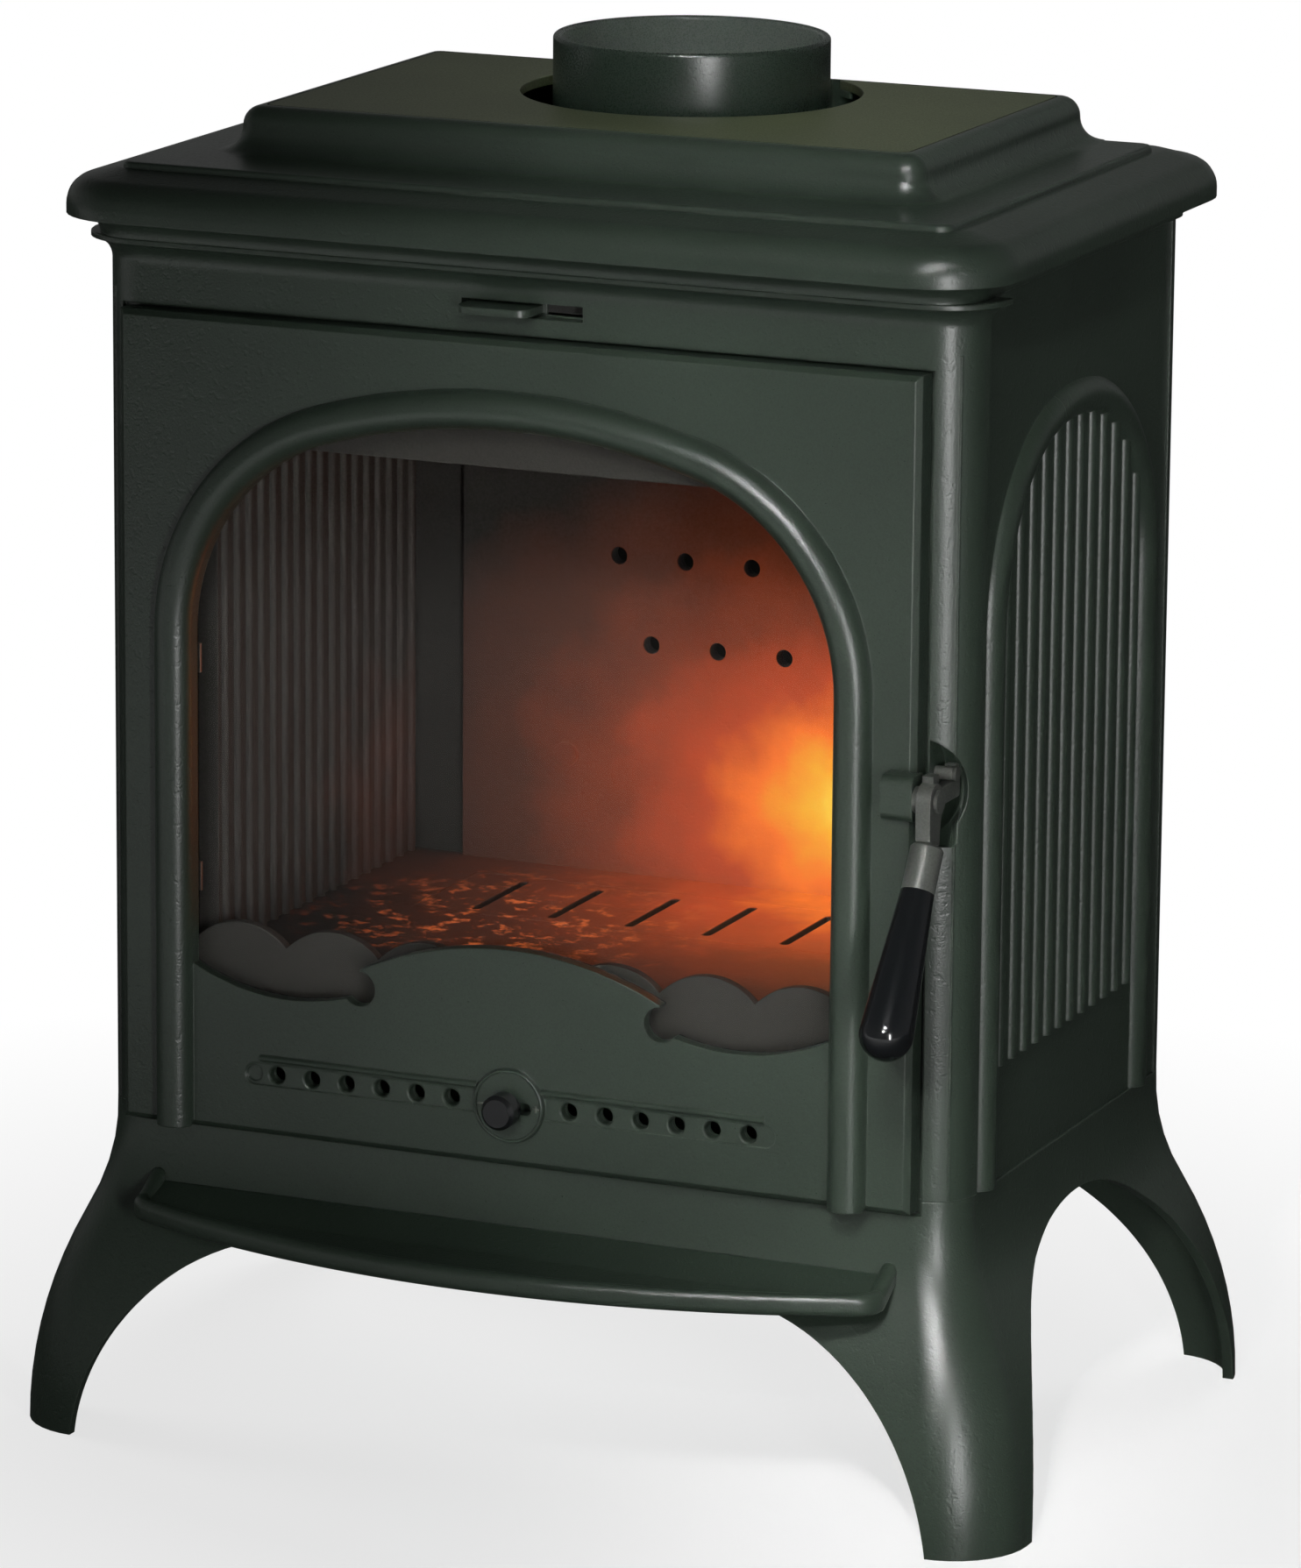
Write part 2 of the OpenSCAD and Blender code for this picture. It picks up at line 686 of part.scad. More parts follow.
module side_panel_right() color(cast_grey) side_panel();
module side_panel_left() color(cast_grey) mirror([1, 0, 0]) side_panel();

// ---------------------------------------------------------------- firebox

module hearth_plate() color(dark_iron) difference() {
    intersection() {
        box([-side_in + slack, rebate_in + slack, hearth_low],
            [side_in - slack, back_in - slack, hearth_z]);
        inside_walls(hearth_low, hearth_z, slack);
    }
    grate_outline(hearth_z - grate_t, grate_t + 1, 0.8);
    grate_outline(hearth_low - 1, hearth_t + 2, -ledge_w);
    for (p = rod_places) translate([p[0], p[1], hearth_low - 1])
        cylinder(r = rod_r + 1, h = hearth_t + 2);
}

// Outline of the grate at height z, grown by spare
module grate_outline(z, h, spare) {
    depth = slot_len / 2 + 8 + spare;
    box([grate_x - grate_half - spare, grate_y - depth, z],
        [grate_x + grate_half + spare, grate_y + depth, z + h]);
}

module grate() color(dark_iron) difference() {
    grate_outline(hearth_z - grate_t, grate_t, 0);
    for (i = [-2:2]) translate([grate_x + i * slot_pitch, grate_y, hearth_z - grate_t - 1])
        linear_extrude(grate_t + 2) {
            square([slot_w, slot_len - slot_w], center = true);
            for (s = [-1, 1]) translate([0, s * (slot_len - slot_w) / 2]) circle(slot_w / 2);
        }
}

guard_y = rebate_y + 1;
guard_t = 6;
guard_x = -5;

module log_guard() color(cast_grey) {
    sag = 12;
    lobe_r = (pow(lobe_w / 2, 2) + sag * sag) / (2 * sag);
    xz(guard_y, guard_t) {
        intersection() {
            union() for (i = [0:lobe_count - 1])
                translate([guard_x + (i - (lobe_count - 1) / 2) * lobe_w, guard_z - lobe_r])
                    circle(lobe_r);
            translate([guard_x - lobe_count * lobe_w / 2, guard_z - sag - 5])
                square([lobe_count * lobe_w, sag + 10]);
        }
        translate([guard_x - lobe_count * lobe_w / 2, fire_low])
            square([lobe_count * lobe_w, guard_z - sag - fire_low - 4]);
    }
}

// Side lining: ribbed towards the fire, with a sloping top that carries the baffle
module side_lining() intersection() {
    ribs = 17;
    front = rebate_in + 4;
    depth = box_y - slack - front;
    translate([0, 0, hearth_z]) linear_extrude(300) {
        translate([lining_half, front]) square([lining_t, depth]);
        for (i = [0:ribs - 1]) translate([lining_half, front + depth * (i + 0.5) / ribs])
            circle(3, $fn = 20);
    }
    yz(lining_half - 10, lining_t + 20) polygon([
        [front - 1, hearth_z - 1], [box_y, hearth_z - 1],
        [box_y, baffle_z - 7 * tan(baffle_slope)],
        [front - 1, baffle_z + (rear_face - front) * tan(baffle_slope)]]);
}

module side_lining_right() color(dark_iron) side_lining();
module side_lining_left() color(dark_iron) mirror([1, 0, 0]) side_lining();

module baffle_plate() color(dark_iron)
    translate([0, rear_face - 1, baffle_z]) rotate([-baffle_slope, 0, 0])
        box([-lining_out + 1, -baffle_d, 0.2], [lining_out - 1, 0, 6.2]);

box_top_z = baffle_z + 80;
air_rows = [[400, [-40, 0, 40]], [449, [-60, -20, 20, 60]]];
rear_bolt = [-91, 333];
rear_hole_r = 5;

// Tray behind the rear lining that feeds the upper air holes
module rear_air_box() color(dark_iron) difference() {
    union() {
        box([-lining_out, box_y, hearth_z], [lining_out, box_y + 4, box_top_z]);
        for (s = [-1, 1]) box([s * lining_out - 2 - s * 2, box_y, hearth_z],
            [s * lining_out + 2 - s * 2, back_in - slack, box_top_z]);
        box([-lining_out, box_y, box_top_z - 4], [lining_out, back_in - slack, box_top_z]);
    }
    rear_holes(box_y - 1, 6);
}

module rear_holes(y0, len) {
    for (row = air_rows, x = row[1]) y_rod(x, y0, len, row[0], rear_hole_r);
    y_rod(rear_bolt[0], y0, len, rear_bolt[1], 4);
}

module rear_lining() color(dark_iron) difference() {
    box([-lining_half + 32, rear_face, hearth_z], [lining_half - 12, box_y, baffle_z - 2]);
    rear_holes(rear_face - 1, rear_t + 2);
}

module rear_lining_bolt() color(steel) {
    y_rod(rear_bolt[0], rear_face - 3, 3, rear_bolt[1], 7);
    y_rod(rear_bolt[0], rear_face, rear_t + 8, rear_bolt[1], 4);
    translate([rear_bolt[0], box_y + 4, rear_bolt[1]]) rotate([-90, 0, 0]) difference() {
        hexagon(13, 4);
        translate([0, 0, -1]) cylinder(r = 4, h = 6);
    }
}

// Angle of sheet under the top band that sends air down over the glass
module air_wash_deflector() color(cast_grey) {
    low = fire_top - 29;
    high = fire_top + 16;
    box([fire_left + 1, rebate_in, low], [fire_right - 1, rebate_in + 3, high]);
    box([fire_left + 1, rebate_in, high - 3], [fire_right - 1, rebate_in + 40, high]);
}

module firebox_top() color(dark_iron) difference() {
    intersection() {
        box([-side_in + slack, rebate_in + 8, top_ledge_z],
            [side_in - slack, back_in - slack, top_ledge_z + inner_top_t]);
        inside_walls(top_ledge_z, top_ledge_z + inner_top_t, slack);
    }
    translate([0, collar_y, top_ledge_z - 1]) cylinder(r = collar_r - collar_t, h = 20);
    for (p = rod_places) translate([p[0], p[1], top_ledge_z - 1]) cylinder(r = rod_r + 0.5, h = 20);
    for (a = [45:90:315]) translate([0, collar_y, top_ledge_z - 1]) rotate(a)
        translate([collar_r + 9, 0, 0]) cylinder(r = 3, h = 20);
}

// ---------------------------------------------------------------- top

top_y = body_y + (top_over_rear - top_over_front) / 2;
top_half_d = half_d + (top_over_front + top_over_rear) / 2 - top_over;
deck_half_w = half_w - 14;
deck_rear_y = rear_y - 17;
deck_mid_y = (front_y + deck_rear_y) / 2;
deck_half_d = (deck_rear_y - front_y) / 2;
edge_r = 10.5;                   // rounding of the plateau's top edge
cove_r = plateau_h - deck_h - edge_r;

// Moulding of the top plate: cove, ovolo and flat
top_edge = concat(
    [[1.5, plate_z], [1.5, plate_z + 1]],
    arc_points(top_over - 8.8, plate_z + 0.2, 9.2, 174, 106, 5),
    [[top_over, plate_z + 10.7]],
    arc_points(top_over - 16, plate_z + rim_h - 18.4, 16, 0, 84, 9),
    [[-8, plate_z + rim_h + 1]]);

// Edge of the raised deck
deck_edge = concat(
    [[0, plate_z + rim_h - 3]],
    arc_points(-2.5, deck_top - 2.5, 2.5, 10, 90, 3));

// Moulding of the plateau: a cove that turns into a rounded edge
plateau_edge = concat(
    [[edge_r + cove_r, deck_top - 1]],
    arc_points(edge_r + cove_r, deck_top + cove_r, cove_r, 270, 188, 8),
    arc_points(0, plateau_z - edge_r, edge_r, 0, 90, 8));

module top_plate() color(cast_grey) difference() {
    hollow_z = deck_top - top_t - 2;
    union() {
        translate([0, top_y, 0]) moulded_block(half_w, top_half_d, corner_r, top_edge);
        translate([0, deck_mid_y, 0]) moulded_block(deck_half_w, deck_half_d, 8, deck_edge);
        intersection() {
            translate([0, plateau_y, 0])
                moulded_block(plateau_half - edge_r, plateau_d / 2 - edge_r, 2, plateau_edge);
            box([-half_w, front_y, deck_top - 5], [half_w, deck_rear_y, plateau_z + 1]);
        }
    }
    // Underside, hollow inside the bearing edge
    inside_walls(plate_z - 1, hollow_z, 2);
    translate([0, plateau_y, plate_z]) linear_extrude(plateau_z - top_t - plate_z - 2)
        square([2 * plateau_half - 24, plateau_d - 24], center = true);
    cover_outline(plateau_z - cover_t, cover_seam, cover_t + 1);
    cover_outline(plateau_z - 40, -8, 60);
    collar_hole(plate_z - 1, plateau_h + 2, plateau_y + plateau_d / 2 - 8);
}

// Clearance round the collar, stopped short at y_end behind it
module collar_hole(z, h, y_end) intersection() {
    translate([0, collar_y, z]) cylinder(r = cover_hole_r, h = h);
    box([-half_w, front_y, z], [half_w, y_end, z + h]);
}

// Outline of the cover plate at height z, grown by spare
module cover_outline(z, spare, h)
    translate([0, plateau_y, z]) linear_extrude(h)
        rounded_rect(plateau_half - cover_in - cover_seam + spare,
            plateau_d / 2 - cover_in - cover_seam + spare, 6);

module cover_plate() color(cast_grey) difference() {
    cover_outline(plateau_z - cover_t, 0, cover_t);
    collar_hole(plateau_z - 20, 40, rear_y);
}

module flue_collar() color(cast_grey) translate([0, collar_y, 0]) difference() {
    low = top_ledge_z + inner_top_t;
    rotate_extrude() {
        translate([collar_r - collar_t, low])
            square([collar_t, collar_z - low - collar_t / 2]);
        translate([collar_r - collar_t / 2, collar_z - collar_t / 2]) circle(collar_t / 2);
        translate([collar_r - collar_t, low]) square([collar_t + 16, 6]);
    }
    for (a = [45:90:315]) rotate(a) translate([collar_r + 9, 0, low - 1])
        cylinder(r = 3, h = 10);
}

module collar_bolts() color(steel)
    translate([0, collar_y, 0]) for (a = [45:90:315]) rotate(a)
        translate([collar_r + 9, 0, top_ledge_z + inner_top_t + 6]) {
            hexagon(10, 4);
            translate([0, 0, -14]) cylinder(r = 3, h = 14);
        }

module tie_rods() color(steel) for (p = rod_places)
    translate([p[0], p[1], seam_z - 10]) cylinder(r = rod_r, h = top_ledge_z + 18 - seam_z);

module tie_rod_nuts() color(steel) for (p = rod_places, z = [seam_z - 7, top_ledge_z
        + inner_top_t])
    translate([p[0], p[1], z]) difference() {
        hexagon(13, 6.5);
        translate([0, 0, -1]) cylinder(r = rod_r, h = 9);
    }

// ---------------------------------------------------------------- upper air control

slide_y = front_y + wall + slack; // front of the sliding plate behind the band
slide_t = 2.2;

module band_slide() color(dark_iron) {
    left = -band_slot_w / 2 - 1.5 + 2;
    tab_z = band_slot_z + band_slot_h / 2;
    difference() {
        box([-78, slide_y, band_low + slack], [78, slide_y + slide_t, band_low + 17]);
        box([left + tab_w + 2, slide_y - 1, band_slot_z + 1], [band_slot_w / 2 - 4, slide_y + 5,
            band_slot_z + band_slot_h - 1]);
    }
    // Tab through the slot, with a rounded end
    translate([left, 0, tab_z - 2]) linear_extrude(4) {
        translate([0, front_y - tab_out + 8]) square([tab_w, slide_y - front_y + tab_out - 7.5]);
        translate([8, front_y - tab_out + 8]) circle(8);
        translate([tab_w - 8, front_y - tab_out + 8]) circle(8);
        translate([8, front_y - tab_out]) square([tab_w - 16, 9]);
    }
}

module band_slide_keeper() color(dark_iron) difference() {
    y0 = slide_y + slide_t + slack;
    union() {
        box([-band_screw_x - 6, y0, band_low + 4], [band_screw_x + 6, y0 + 3, band_low + 12]);
        for (s = [-1, 1]) box([s * band_screw_x - 6, front_y + wall, band_low + 4],
            [s * band_screw_x + 6, y0 + 1, band_low + 12]);
    }
    for (s = [-1, 1]) y_rod(s * band_screw_x, front_y + 3, 20, keeper_mid_z, band_screw_r);
}

module band_screws() color(steel) for (s = [-1, 1]) {
    y_rod(s * band_screw_x, front_y + 3, wall + slide_t + 0.6, keeper_mid_z, band_screw_r);
    y_rod(s * band_screw_x, slide_y + slide_t + slack + 3, 2, keeper_mid_z, 3.6);
}

// ---------------------------------------------------------------- ash pan

pan_y = rebate_in + 8;
pan_len = 205;
pan_low = deck_z + slack;
pan_top = pan_door_top - 4;

module ash_pan() color(dark_iron) {
    half = pan_door_half - 6;
    difference() {
        box([door_mid - half, pan_y, pan_low], [door_mid + half, pan_y + pan_len, pan_top]);
        box([door_mid - half + 2, pan_y + 2, pan_low + 2],
            [door_mid + half - 2, pan_y + pan_len - 2, pan_top + 1]);
    }
    // Pull rolled out of the front edge
    difference() {
        box([door_mid - 40, pan_y - 11, pan_top - 12], [door_mid + 40, pan_y + 0.5, pan_top]);
        box([door_mid - 38, pan_y - 9, pan_top - 13], [door_mid + 38, pan_y, pan_top - 2]);
    }
}

// ---------------------------------------------------------------- hinge and catch

module hinge_pins() color(steel) translate([hinge_x, hinge_y, 0]) {
    translate([0, 0, door_z + 4]) cylinder(r = pin_r, h = hinge_low_z + 20 - door_z - 4);
    translate([0, 0, hinge_high_z - 20]) cylinder(r = pin_r, h = door_top - 4 - hinge_high_z + 20);
}

module catch_stud() color(steel) {
    x_rod(catch_x0, arm_x + 4.5 - catch_x0, sleeve_y, sleeve_z, catch_stud_r);
    x_rod(arm_x + 2.7, 1.8, sleeve_y, sleeve_z, sleeve_r);
}

module catch_sleeve() color(steel) difference() {
    x_rod(pocket_x + 0.2, arm_x + 2.5 - pocket_x - 0.2, sleeve_y, sleeve_z, sleeve_r);
    x_rod(pocket_x - 1, 20, sleeve_y, sleeve_z, catch_stud_r);
}

// ---------------------------------------------------------------- door

// Area of the window: the arch, down to the shaped sill
module window_area(grow) difference() {
    translate([window_x, 0]) arch(window_half + grow, window_top + grow, window_shoulder_r + grow,
        window_crown_r + grow, sill_z - 10 - grow);
    sill_shape();
}

// Shaped top of the door's lower face: a hump, hooked at its ends, between two hollows
module sill_shape() {
    hump_low = hump_z - hump_r;
    hook_z = hump_low + sqrt(pow(hump_r, 2) - pow(hump_half, 2)) - hook_r - 1;
    difference() {
        union() {
            intersection() {
                translate([door_mid, hump_low]) circle(hump_r, $fn = 120);
                translate([door_mid - hump_half, sill_z - 30]) square([2 * hump_half, 90]);
            }
            difference() {
                translate([door_left, door_z]) square([door_w, sill_z + 18 - door_z]);
                for (s = [-1, 1]) translate([door_mid + s * 129, sill_z + sill_r])
                    circle(sill_r, $fn = 120);
                translate([door_mid - hump_half + 4, sill_z + 2])
                    square([2 * hump_half - 8, 60]);
            }
        }
        for (s = [-1, 1]) translate([door_mid + s * (hump_half + 0.5), hook_z]) circle(hook_r);
    }
}

glass_lap = 6;
gasket_t = 1.5;
glass_t = 4;
glass_y = skin_in + gasket_t;
glass_low = sill_z - 9;
clip_y = glass_y + glass_t;
clip_t = 2;
clip_out = 5;                    // from the glass's edge to the clip screws
clip_places = concat(
    [for (s = [-1, 1], z = [310, 430]) [window_x + s * (window_half + glass_lap + clip_out), z,
        s < 0 ? 0 : 180]],
    [[window_x, window_top + glass_lap + clip_out, 270]],
    [for (s = [-1, 1]) [window_x + s * 95, glass_low - clip_out, 90]]);

module glass_outline(spare) translate([window_x, 0]) arch(window_half + glass_lap + spare,
    window_top + glass_lap + spare, window_shoulder_r + glass_lap + spare,
    window_crown_r + glass_lap + spare, glass_low - spare);

module door() color(cast_grey) difference() {
    union() {
        difference() {
            xz(door_y, door_t) translate([door_left, door_z]) square([door_w, door_h]);
            xz(skin_in, door_t) difference() {
                inside_rim();
                // Bosses for the glass clips
                for (p = clip_places) translate([p[0], p[1]]) circle(clip_boss_r);
            }
            xz(clip_y, door_t) inside_rim();
        }
        translate([window_x, door_y, 0]) arch_bead(window_half + bead_r, window_top + bead_r,
            window_shoulder_r + bead_r, window_crown_r + bead_r, door_z, bead_r);
        // Upper guide of the air slide
        box([air_left - 8, skin_in - 0.5, air_slide_top + slack],
            [air_right + 8, skin_in + 4, air_slide_top + slack + 4]);
        air_surround();
        latch_lug();
    }
    xz(door_y - bead_r - 1, door_skin + bead_r + 2) window_area(0);
    air_cuts();
    hinge_cuts();
    door_edges();
    // Groove for the rope gasket
    xz(door_back - 4, 5) gasket_ring(gasket_w + 0.6);
    x_rod(latch_lug_left - 1, 30, pivot_y, pivot_z, pivot_r);
    for (p = clip_places) y_rod(p[0], skin_in - 2, 10, p[1], clip_screw_r);
    for (s = [-1, 1]) y_rod(air_mid + s * keeper_x, skin_in - 2, 10, air_slide_top + slack + 2,
        clip_screw_r);
}

module inside_rim() translate([door_left + rim_side, door_z + rim_low])
    square([door_w - 2 * rim_side, door_h - rim_side - rim_low]);

clip_boss_r = 4.4;
clip_screw_r = 1.5;
air_half = air_first + (air_count - 1) * air_pitch;
air_mid = air_x;
air_left = air_mid - air_half - 15;
air_right = air_mid + air_half + 15;
air_slide_top = air_z + 12;
air_slide_low = door_z + rim_low + slack;
air_travel = air_pitch / 2;
knob_z = air_z - 0.7;
keeper_x = 100;
cartouche_r = 20.2;
channel_r = 6;
channel_left = air_mid - air_half - 12.6;
channel_right = air_mid + air_half + 9.6;

// Raised surround of the air holes: a round cartouche and a fine ridge
module air_surround() {
    y_rod(air_mid + 0.5, door_y - 2.5, 4, air_z, cartouche_r);
    for (s = [-1, 1]) translate([air_mid + s * (air_half / 2 + 18 - 4), door_y, air_z + 9])
        rotate([0, 90, 0]) cylinder(r = 1.8, h = air_half - 9, center = true, $fn = 20);
}

module air_cuts() {
    for (s = [-1, 1], k = [0:air_count - 1]) translate([air_mid + s * (air_first
            + k * air_pitch), 0, air_z]) rotate([-90, 0, 0]) {
        translate([0, 0, door_y - 1]) cylinder(r = air_d / 2, h = door_skin + 2);
        translate([0, 0, door_y - 0.01]) cylinder(r1 = air_d / 2 + 1.4, r2 = air_d / 2, h = 1.6);
    }
    // Shallow channel that the holes lie in
    xz(door_y - 1, 1.7) difference() {
        union() {
            translate([channel_left, air_z - channel_r]) square([channel_right - channel_left,
                2 * channel_r]);
            for (x = [channel_left, channel_right]) translate([x, air_z]) circle(channel_r);
        }
        translate([air_mid + 0.5, air_z]) circle(cartouche_r);
    }
    y_rod(channel_left - 0.6, door_y - 1, 3, air_z, air_d / 2);
    // Slot for the knob's shank, hidden by the knob
    xz(door_y - 4, door_skin + 5) {
        translate([air_mid - air_travel, knob_z - 3.4]) square([2 * air_travel, 6.8]);
        for (s = [-1, 1]) translate([air_mid + s * air_travel, knob_z]) circle(3.4);
    }
}

// Room for the frame's lugs to pass while the door turns, and the bores for the pins
module hinge_cuts() {
    for (z = [hinge_low_z, hinge_high_z]) translate([hinge_x, hinge_y, z - lug_h / 2 - 1]) {
        h = lug_h + 2;
        cylinder(r = lug_r + 0.4, h = h);
        translate([-door_t, -lug_r - 0.4, 0]) cube([door_t, door_t, h]);
        translate([-door_t, 0, 0]) cube([door_t + lug_r + 0.4, door_t, h]);
    }
    translate([hinge_x, hinge_y, door_z - 1])
        cylinder(r = pin_r + run_gap, h = hinge_low_z + 21 - door_z + 1);
    translate([hinge_x, hinge_y, hinge_high_z - 21])
        cylinder(r = pin_r + run_gap, h = door_top - hinge_high_z + 22);
}

// Bevelled front edges, and a hinge edge rounded about the pins
module door_edges() {
    b = door_bevel;
    for (s = [0, 1]) translate([s ? door_right : door_left, door_y, door_z - 1])
        rotate(45) translate([-b / sqrt(2), -b / sqrt(2)])
            translate([0, 0, 0]) cube([b * sqrt(2), b * sqrt(2), door_h + 2]);
    for (z = [door_z, door_top]) translate([door_left - 1, door_y, z]) rotate([45, 0, 0])
        translate([0, -b / sqrt(2), -b / sqrt(2)]) cube([door_w + 2, b * sqrt(2), b * sqrt(2)]);
    translate([hinge_x, hinge_y, door_z - 1]) linear_extrude(door_h + 2) difference() {
        translate([-door_t, 0]) square([door_t, door_t]);
        circle(door_t / 2);
    }
}

module latch_lug() yz(latch_lug_left, latch_lug_right - latch_lug_left) {
    out = door_y - latch_lug_out;
    translate([out + 5, pivot_z - latch_lug_half])
        square([latch_lug_out - 4, 2 * latch_lug_half]);
    translate([out, pivot_z - latch_lug_half + 5]) square([10, 2 * latch_lug_half - 10]);
    for (s = [-1, 1]) translate([out + 5, pivot_z + s * (latch_lug_half - 5)]) circle(5);
}

// Ring in the XZ plane along the door's gasket line, w wide
module gasket_ring(w) difference() {
    gasket_rect(w / 2);
    gasket_rect(-w / 2);
}
module gasket_rect(grow)
    translate([door_left + gasket_in - grow, door_z + gasket_low - grow])
        square([door_w - 2 * gasket_in + 2 * grow, door_h - gasket_in - gasket_low + 2 * grow]);

module door_gasket() color(black) xz(door_back - 4, 4 + 1 - slack) gasket_ring(gasket_w);

module door_glass() color("#1a1a1a", 0.4) xz(glass_y, glass_t) glass_outline(0);

module glass_gasket() color(black) xz(skin_in, gasket_t) difference() {
    glass_outline(0);
    window_area(1);
}

module glass_clips() color(steel) for (p = clip_places)
    translate([p[0], 0, p[1]]) rotate([0, -p[2], 0]) difference() {
        box([-3.4, clip_y, -8], [10, clip_y + clip_t, 8]);
        y_rod(0, clip_y - 1, clip_t + 2, 0, clip_screw_r);
    }

module clip_screws() color(steel) for (p = clip_places) {
    y_rod(p[0], skin_in - 2, clip_y + clip_t - skin_in + 2, p[1], clip_screw_r);
    y_rod(p[0], clip_y + clip_t, 1.4, p[1], 3);
}

module air_slide() color(dark_iron) difference() {
    box([air_left, skin_in + slack, air_slide_low], [air_right, skin_in + slack + 2,
        air_slide_top]);
    for (s = [-1, 1], k = [0:air_count - 1])
        y_rod(air_mid + s * (air_first + k * air_pitch), skin_in, 5, air_z, air_d / 2);
    y_rod(air_mid, skin_in, 5, knob_z, 3);
}

module air_knob() color(black) translate([air_mid, 0, knob_z]) rotate([90, 0, 0])
    translate([0, 0, -door_y]) {
        translate([0, 0, 3.5]) cylinder(r = knob_d / 2 - 3, h = 3);
        translate([0, 0, 6]) cylinder(r = knob_d / 2, h = knob_len - 2);
        translate([0, 0, 4 + knob_len]) cylinder(r1 = knob_d / 2, r2 = knob_d / 2 - 2, h = 2);
        translate([0, 0, -door_skin - 4]) cylinder(r = 3, h = door_skin + 8);
    }

module slide_keepers() color(steel) for (s = [-1, 1])
    translate([air_mid + s * keeper_x, 0, 0]) difference() {
        box([-7, skin_in + 4, air_slide_top - 8], [7, skin_in + 5.5, air_slide_top + 6]);
        y_rod(0, skin_in, 10, air_slide_top + slack + 2, clip_screw_r);
    }

module keeper_screws() color(steel) for (s = [-1, 1]) {
    y_rod(air_mid + s * keeper_x, skin_in - 2, 7.5, air_slide_top + slack + 2, clip_screw_r);
    y_rod(air_mid + s * keeper_x, skin_in + 5.5, 1.4, air_slide_top + slack + 2, 3);
}

// ---------------------------------------------------------------- latch

module latch_pivot_pin() color(steel) {
    x_rod(latch_lug_left, arm_x + arm_t / 2 + slack - latch_lug_left, pivot_y, pivot_z, pivot_r);
    x_rod(arm_x + arm_t / 2 + slack, 2.2, pivot_y, pivot_z, 6);
}

// Place and direction of the handle's axis
module on_handle() translate([arm_x, pivot_y - root_out, pivot_z - root_drop])
    rotate([180 - handle_lean, 0, 0]) children();

module latch_lever() color(steel) difference() {
    union() {
        x_rod(latch_lug_right + slack, arm_left - latch_lug_right, pivot_y, pivot_z, 7);
        x_rod(arm_left, arm_t, pivot_y, pivot_z, 9);
        yz(arm_left, arm_t) polygon([
            [pivot_y - 9, pivot_z], [pivot_y + 8, pivot_z],
            [pivot_y - root_out + 6, pivot_z - root_drop], [pivot_y - root_out - 7,
            pivot_z - root_drop]]);
        // Hook that passes under the catch sleeve and rises behind it
        yz(arm_left, arm_t - 2) difference() {
            intersection() {
                translate([pivot_y, pivot_z]) circle(finger_out, $fn = 96);
                translate([pivot_y, pivot_z - 5]) square([finger_out + 1, 17.5]);
            }
            difference() {
                translate([pivot_y + 8, pivot_z + 4]) square([finger_out, 20]);
                translate([pivot_y, pivot_z]) difference() {
                    circle(finger_out + 1, $fn = 96);
                    circle(finger_in, $fn = 96);
                }
            }
        }
    }
    x_rod(latch_lug_right - 1, 30, pivot_y, pivot_z, pivot_r + run_gap);
    on_handle() translate([0, 0, -9]) cylinder(r = stud_r, h = 60);
    on_handle() translate([0, 0, 0]) cylinder(r = 30, h = 60);
}

stud_r = 2.5;

module handle_stud() color(steel) on_handle() translate([0, 0, -9])
    cylinder(r = stud_r, h = ferrule_len + 50);

module handle_ferrule() color(steel) on_handle() difference() {
    union() {
        cylinder(r1 = ferrule_r - 1.2, r2 = ferrule_r, h = 1.5);
        translate([0, 0, 1.5]) cylinder(r = ferrule_r, h = ferrule_len - 1.5);
    }
    translate([0, 0, -1]) cylinder(r = stud_r, h = 60);
}

// Grip: swells evenly to a round end
module handle_grip() color(black) on_handle() difference() {
    tip = handle_len;
    taper = asin((grip_r - ferrule_r) / (tip - ferrule_len));
    rotate_extrude() intersection() {
        union() {
            translate([0, tip]) circle(grip_r);
            polygon([[0, ferrule_len], [ferrule_r, ferrule_len],
                [grip_r * cos(taper), tip - grip_r * sin(taper)], [0, tip]]);
        }
        translate([0, ferrule_len]) square([30, 200]);
    }
    translate([0, 0, ferrule_len - 1]) cylinder(r = stud_r, h = 43);
}

base_casting();
ash_lip();
ash_lip_screws();
front_frame();
side_panel_left();
side_panel_right();
back_panel();
hearth_plate();
grate();
log_guard();
side_lining_left();
side_lining_right();
rear_air_box();
rear_lining();
rear_lining_bolt();
baffle_plate();
air_wash_deflector();
firebox_top();
top_plate();
cover_plate();
flue_collar();
collar_bolts();
tie_rods();
tie_rod_nuts();
band_slide();
band_slide_keeper();
band_screws();
ash_pan();
hinge_pins();
catch_stud();
catch_sleeve();
door();
door_gasket();
door_glass();
glass_gasket();
glass_clips();
clip_screws();
air_slide();
air_knob();
slide_keepers();
keeper_screws();
latch_pivot_pin();
latch_lever();
handle_stud();
handle_ferrule();
handle_grip();
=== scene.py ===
from math import cos, radians, sin

import bmesh
import bpy
from mathutils import Matrix, Vector


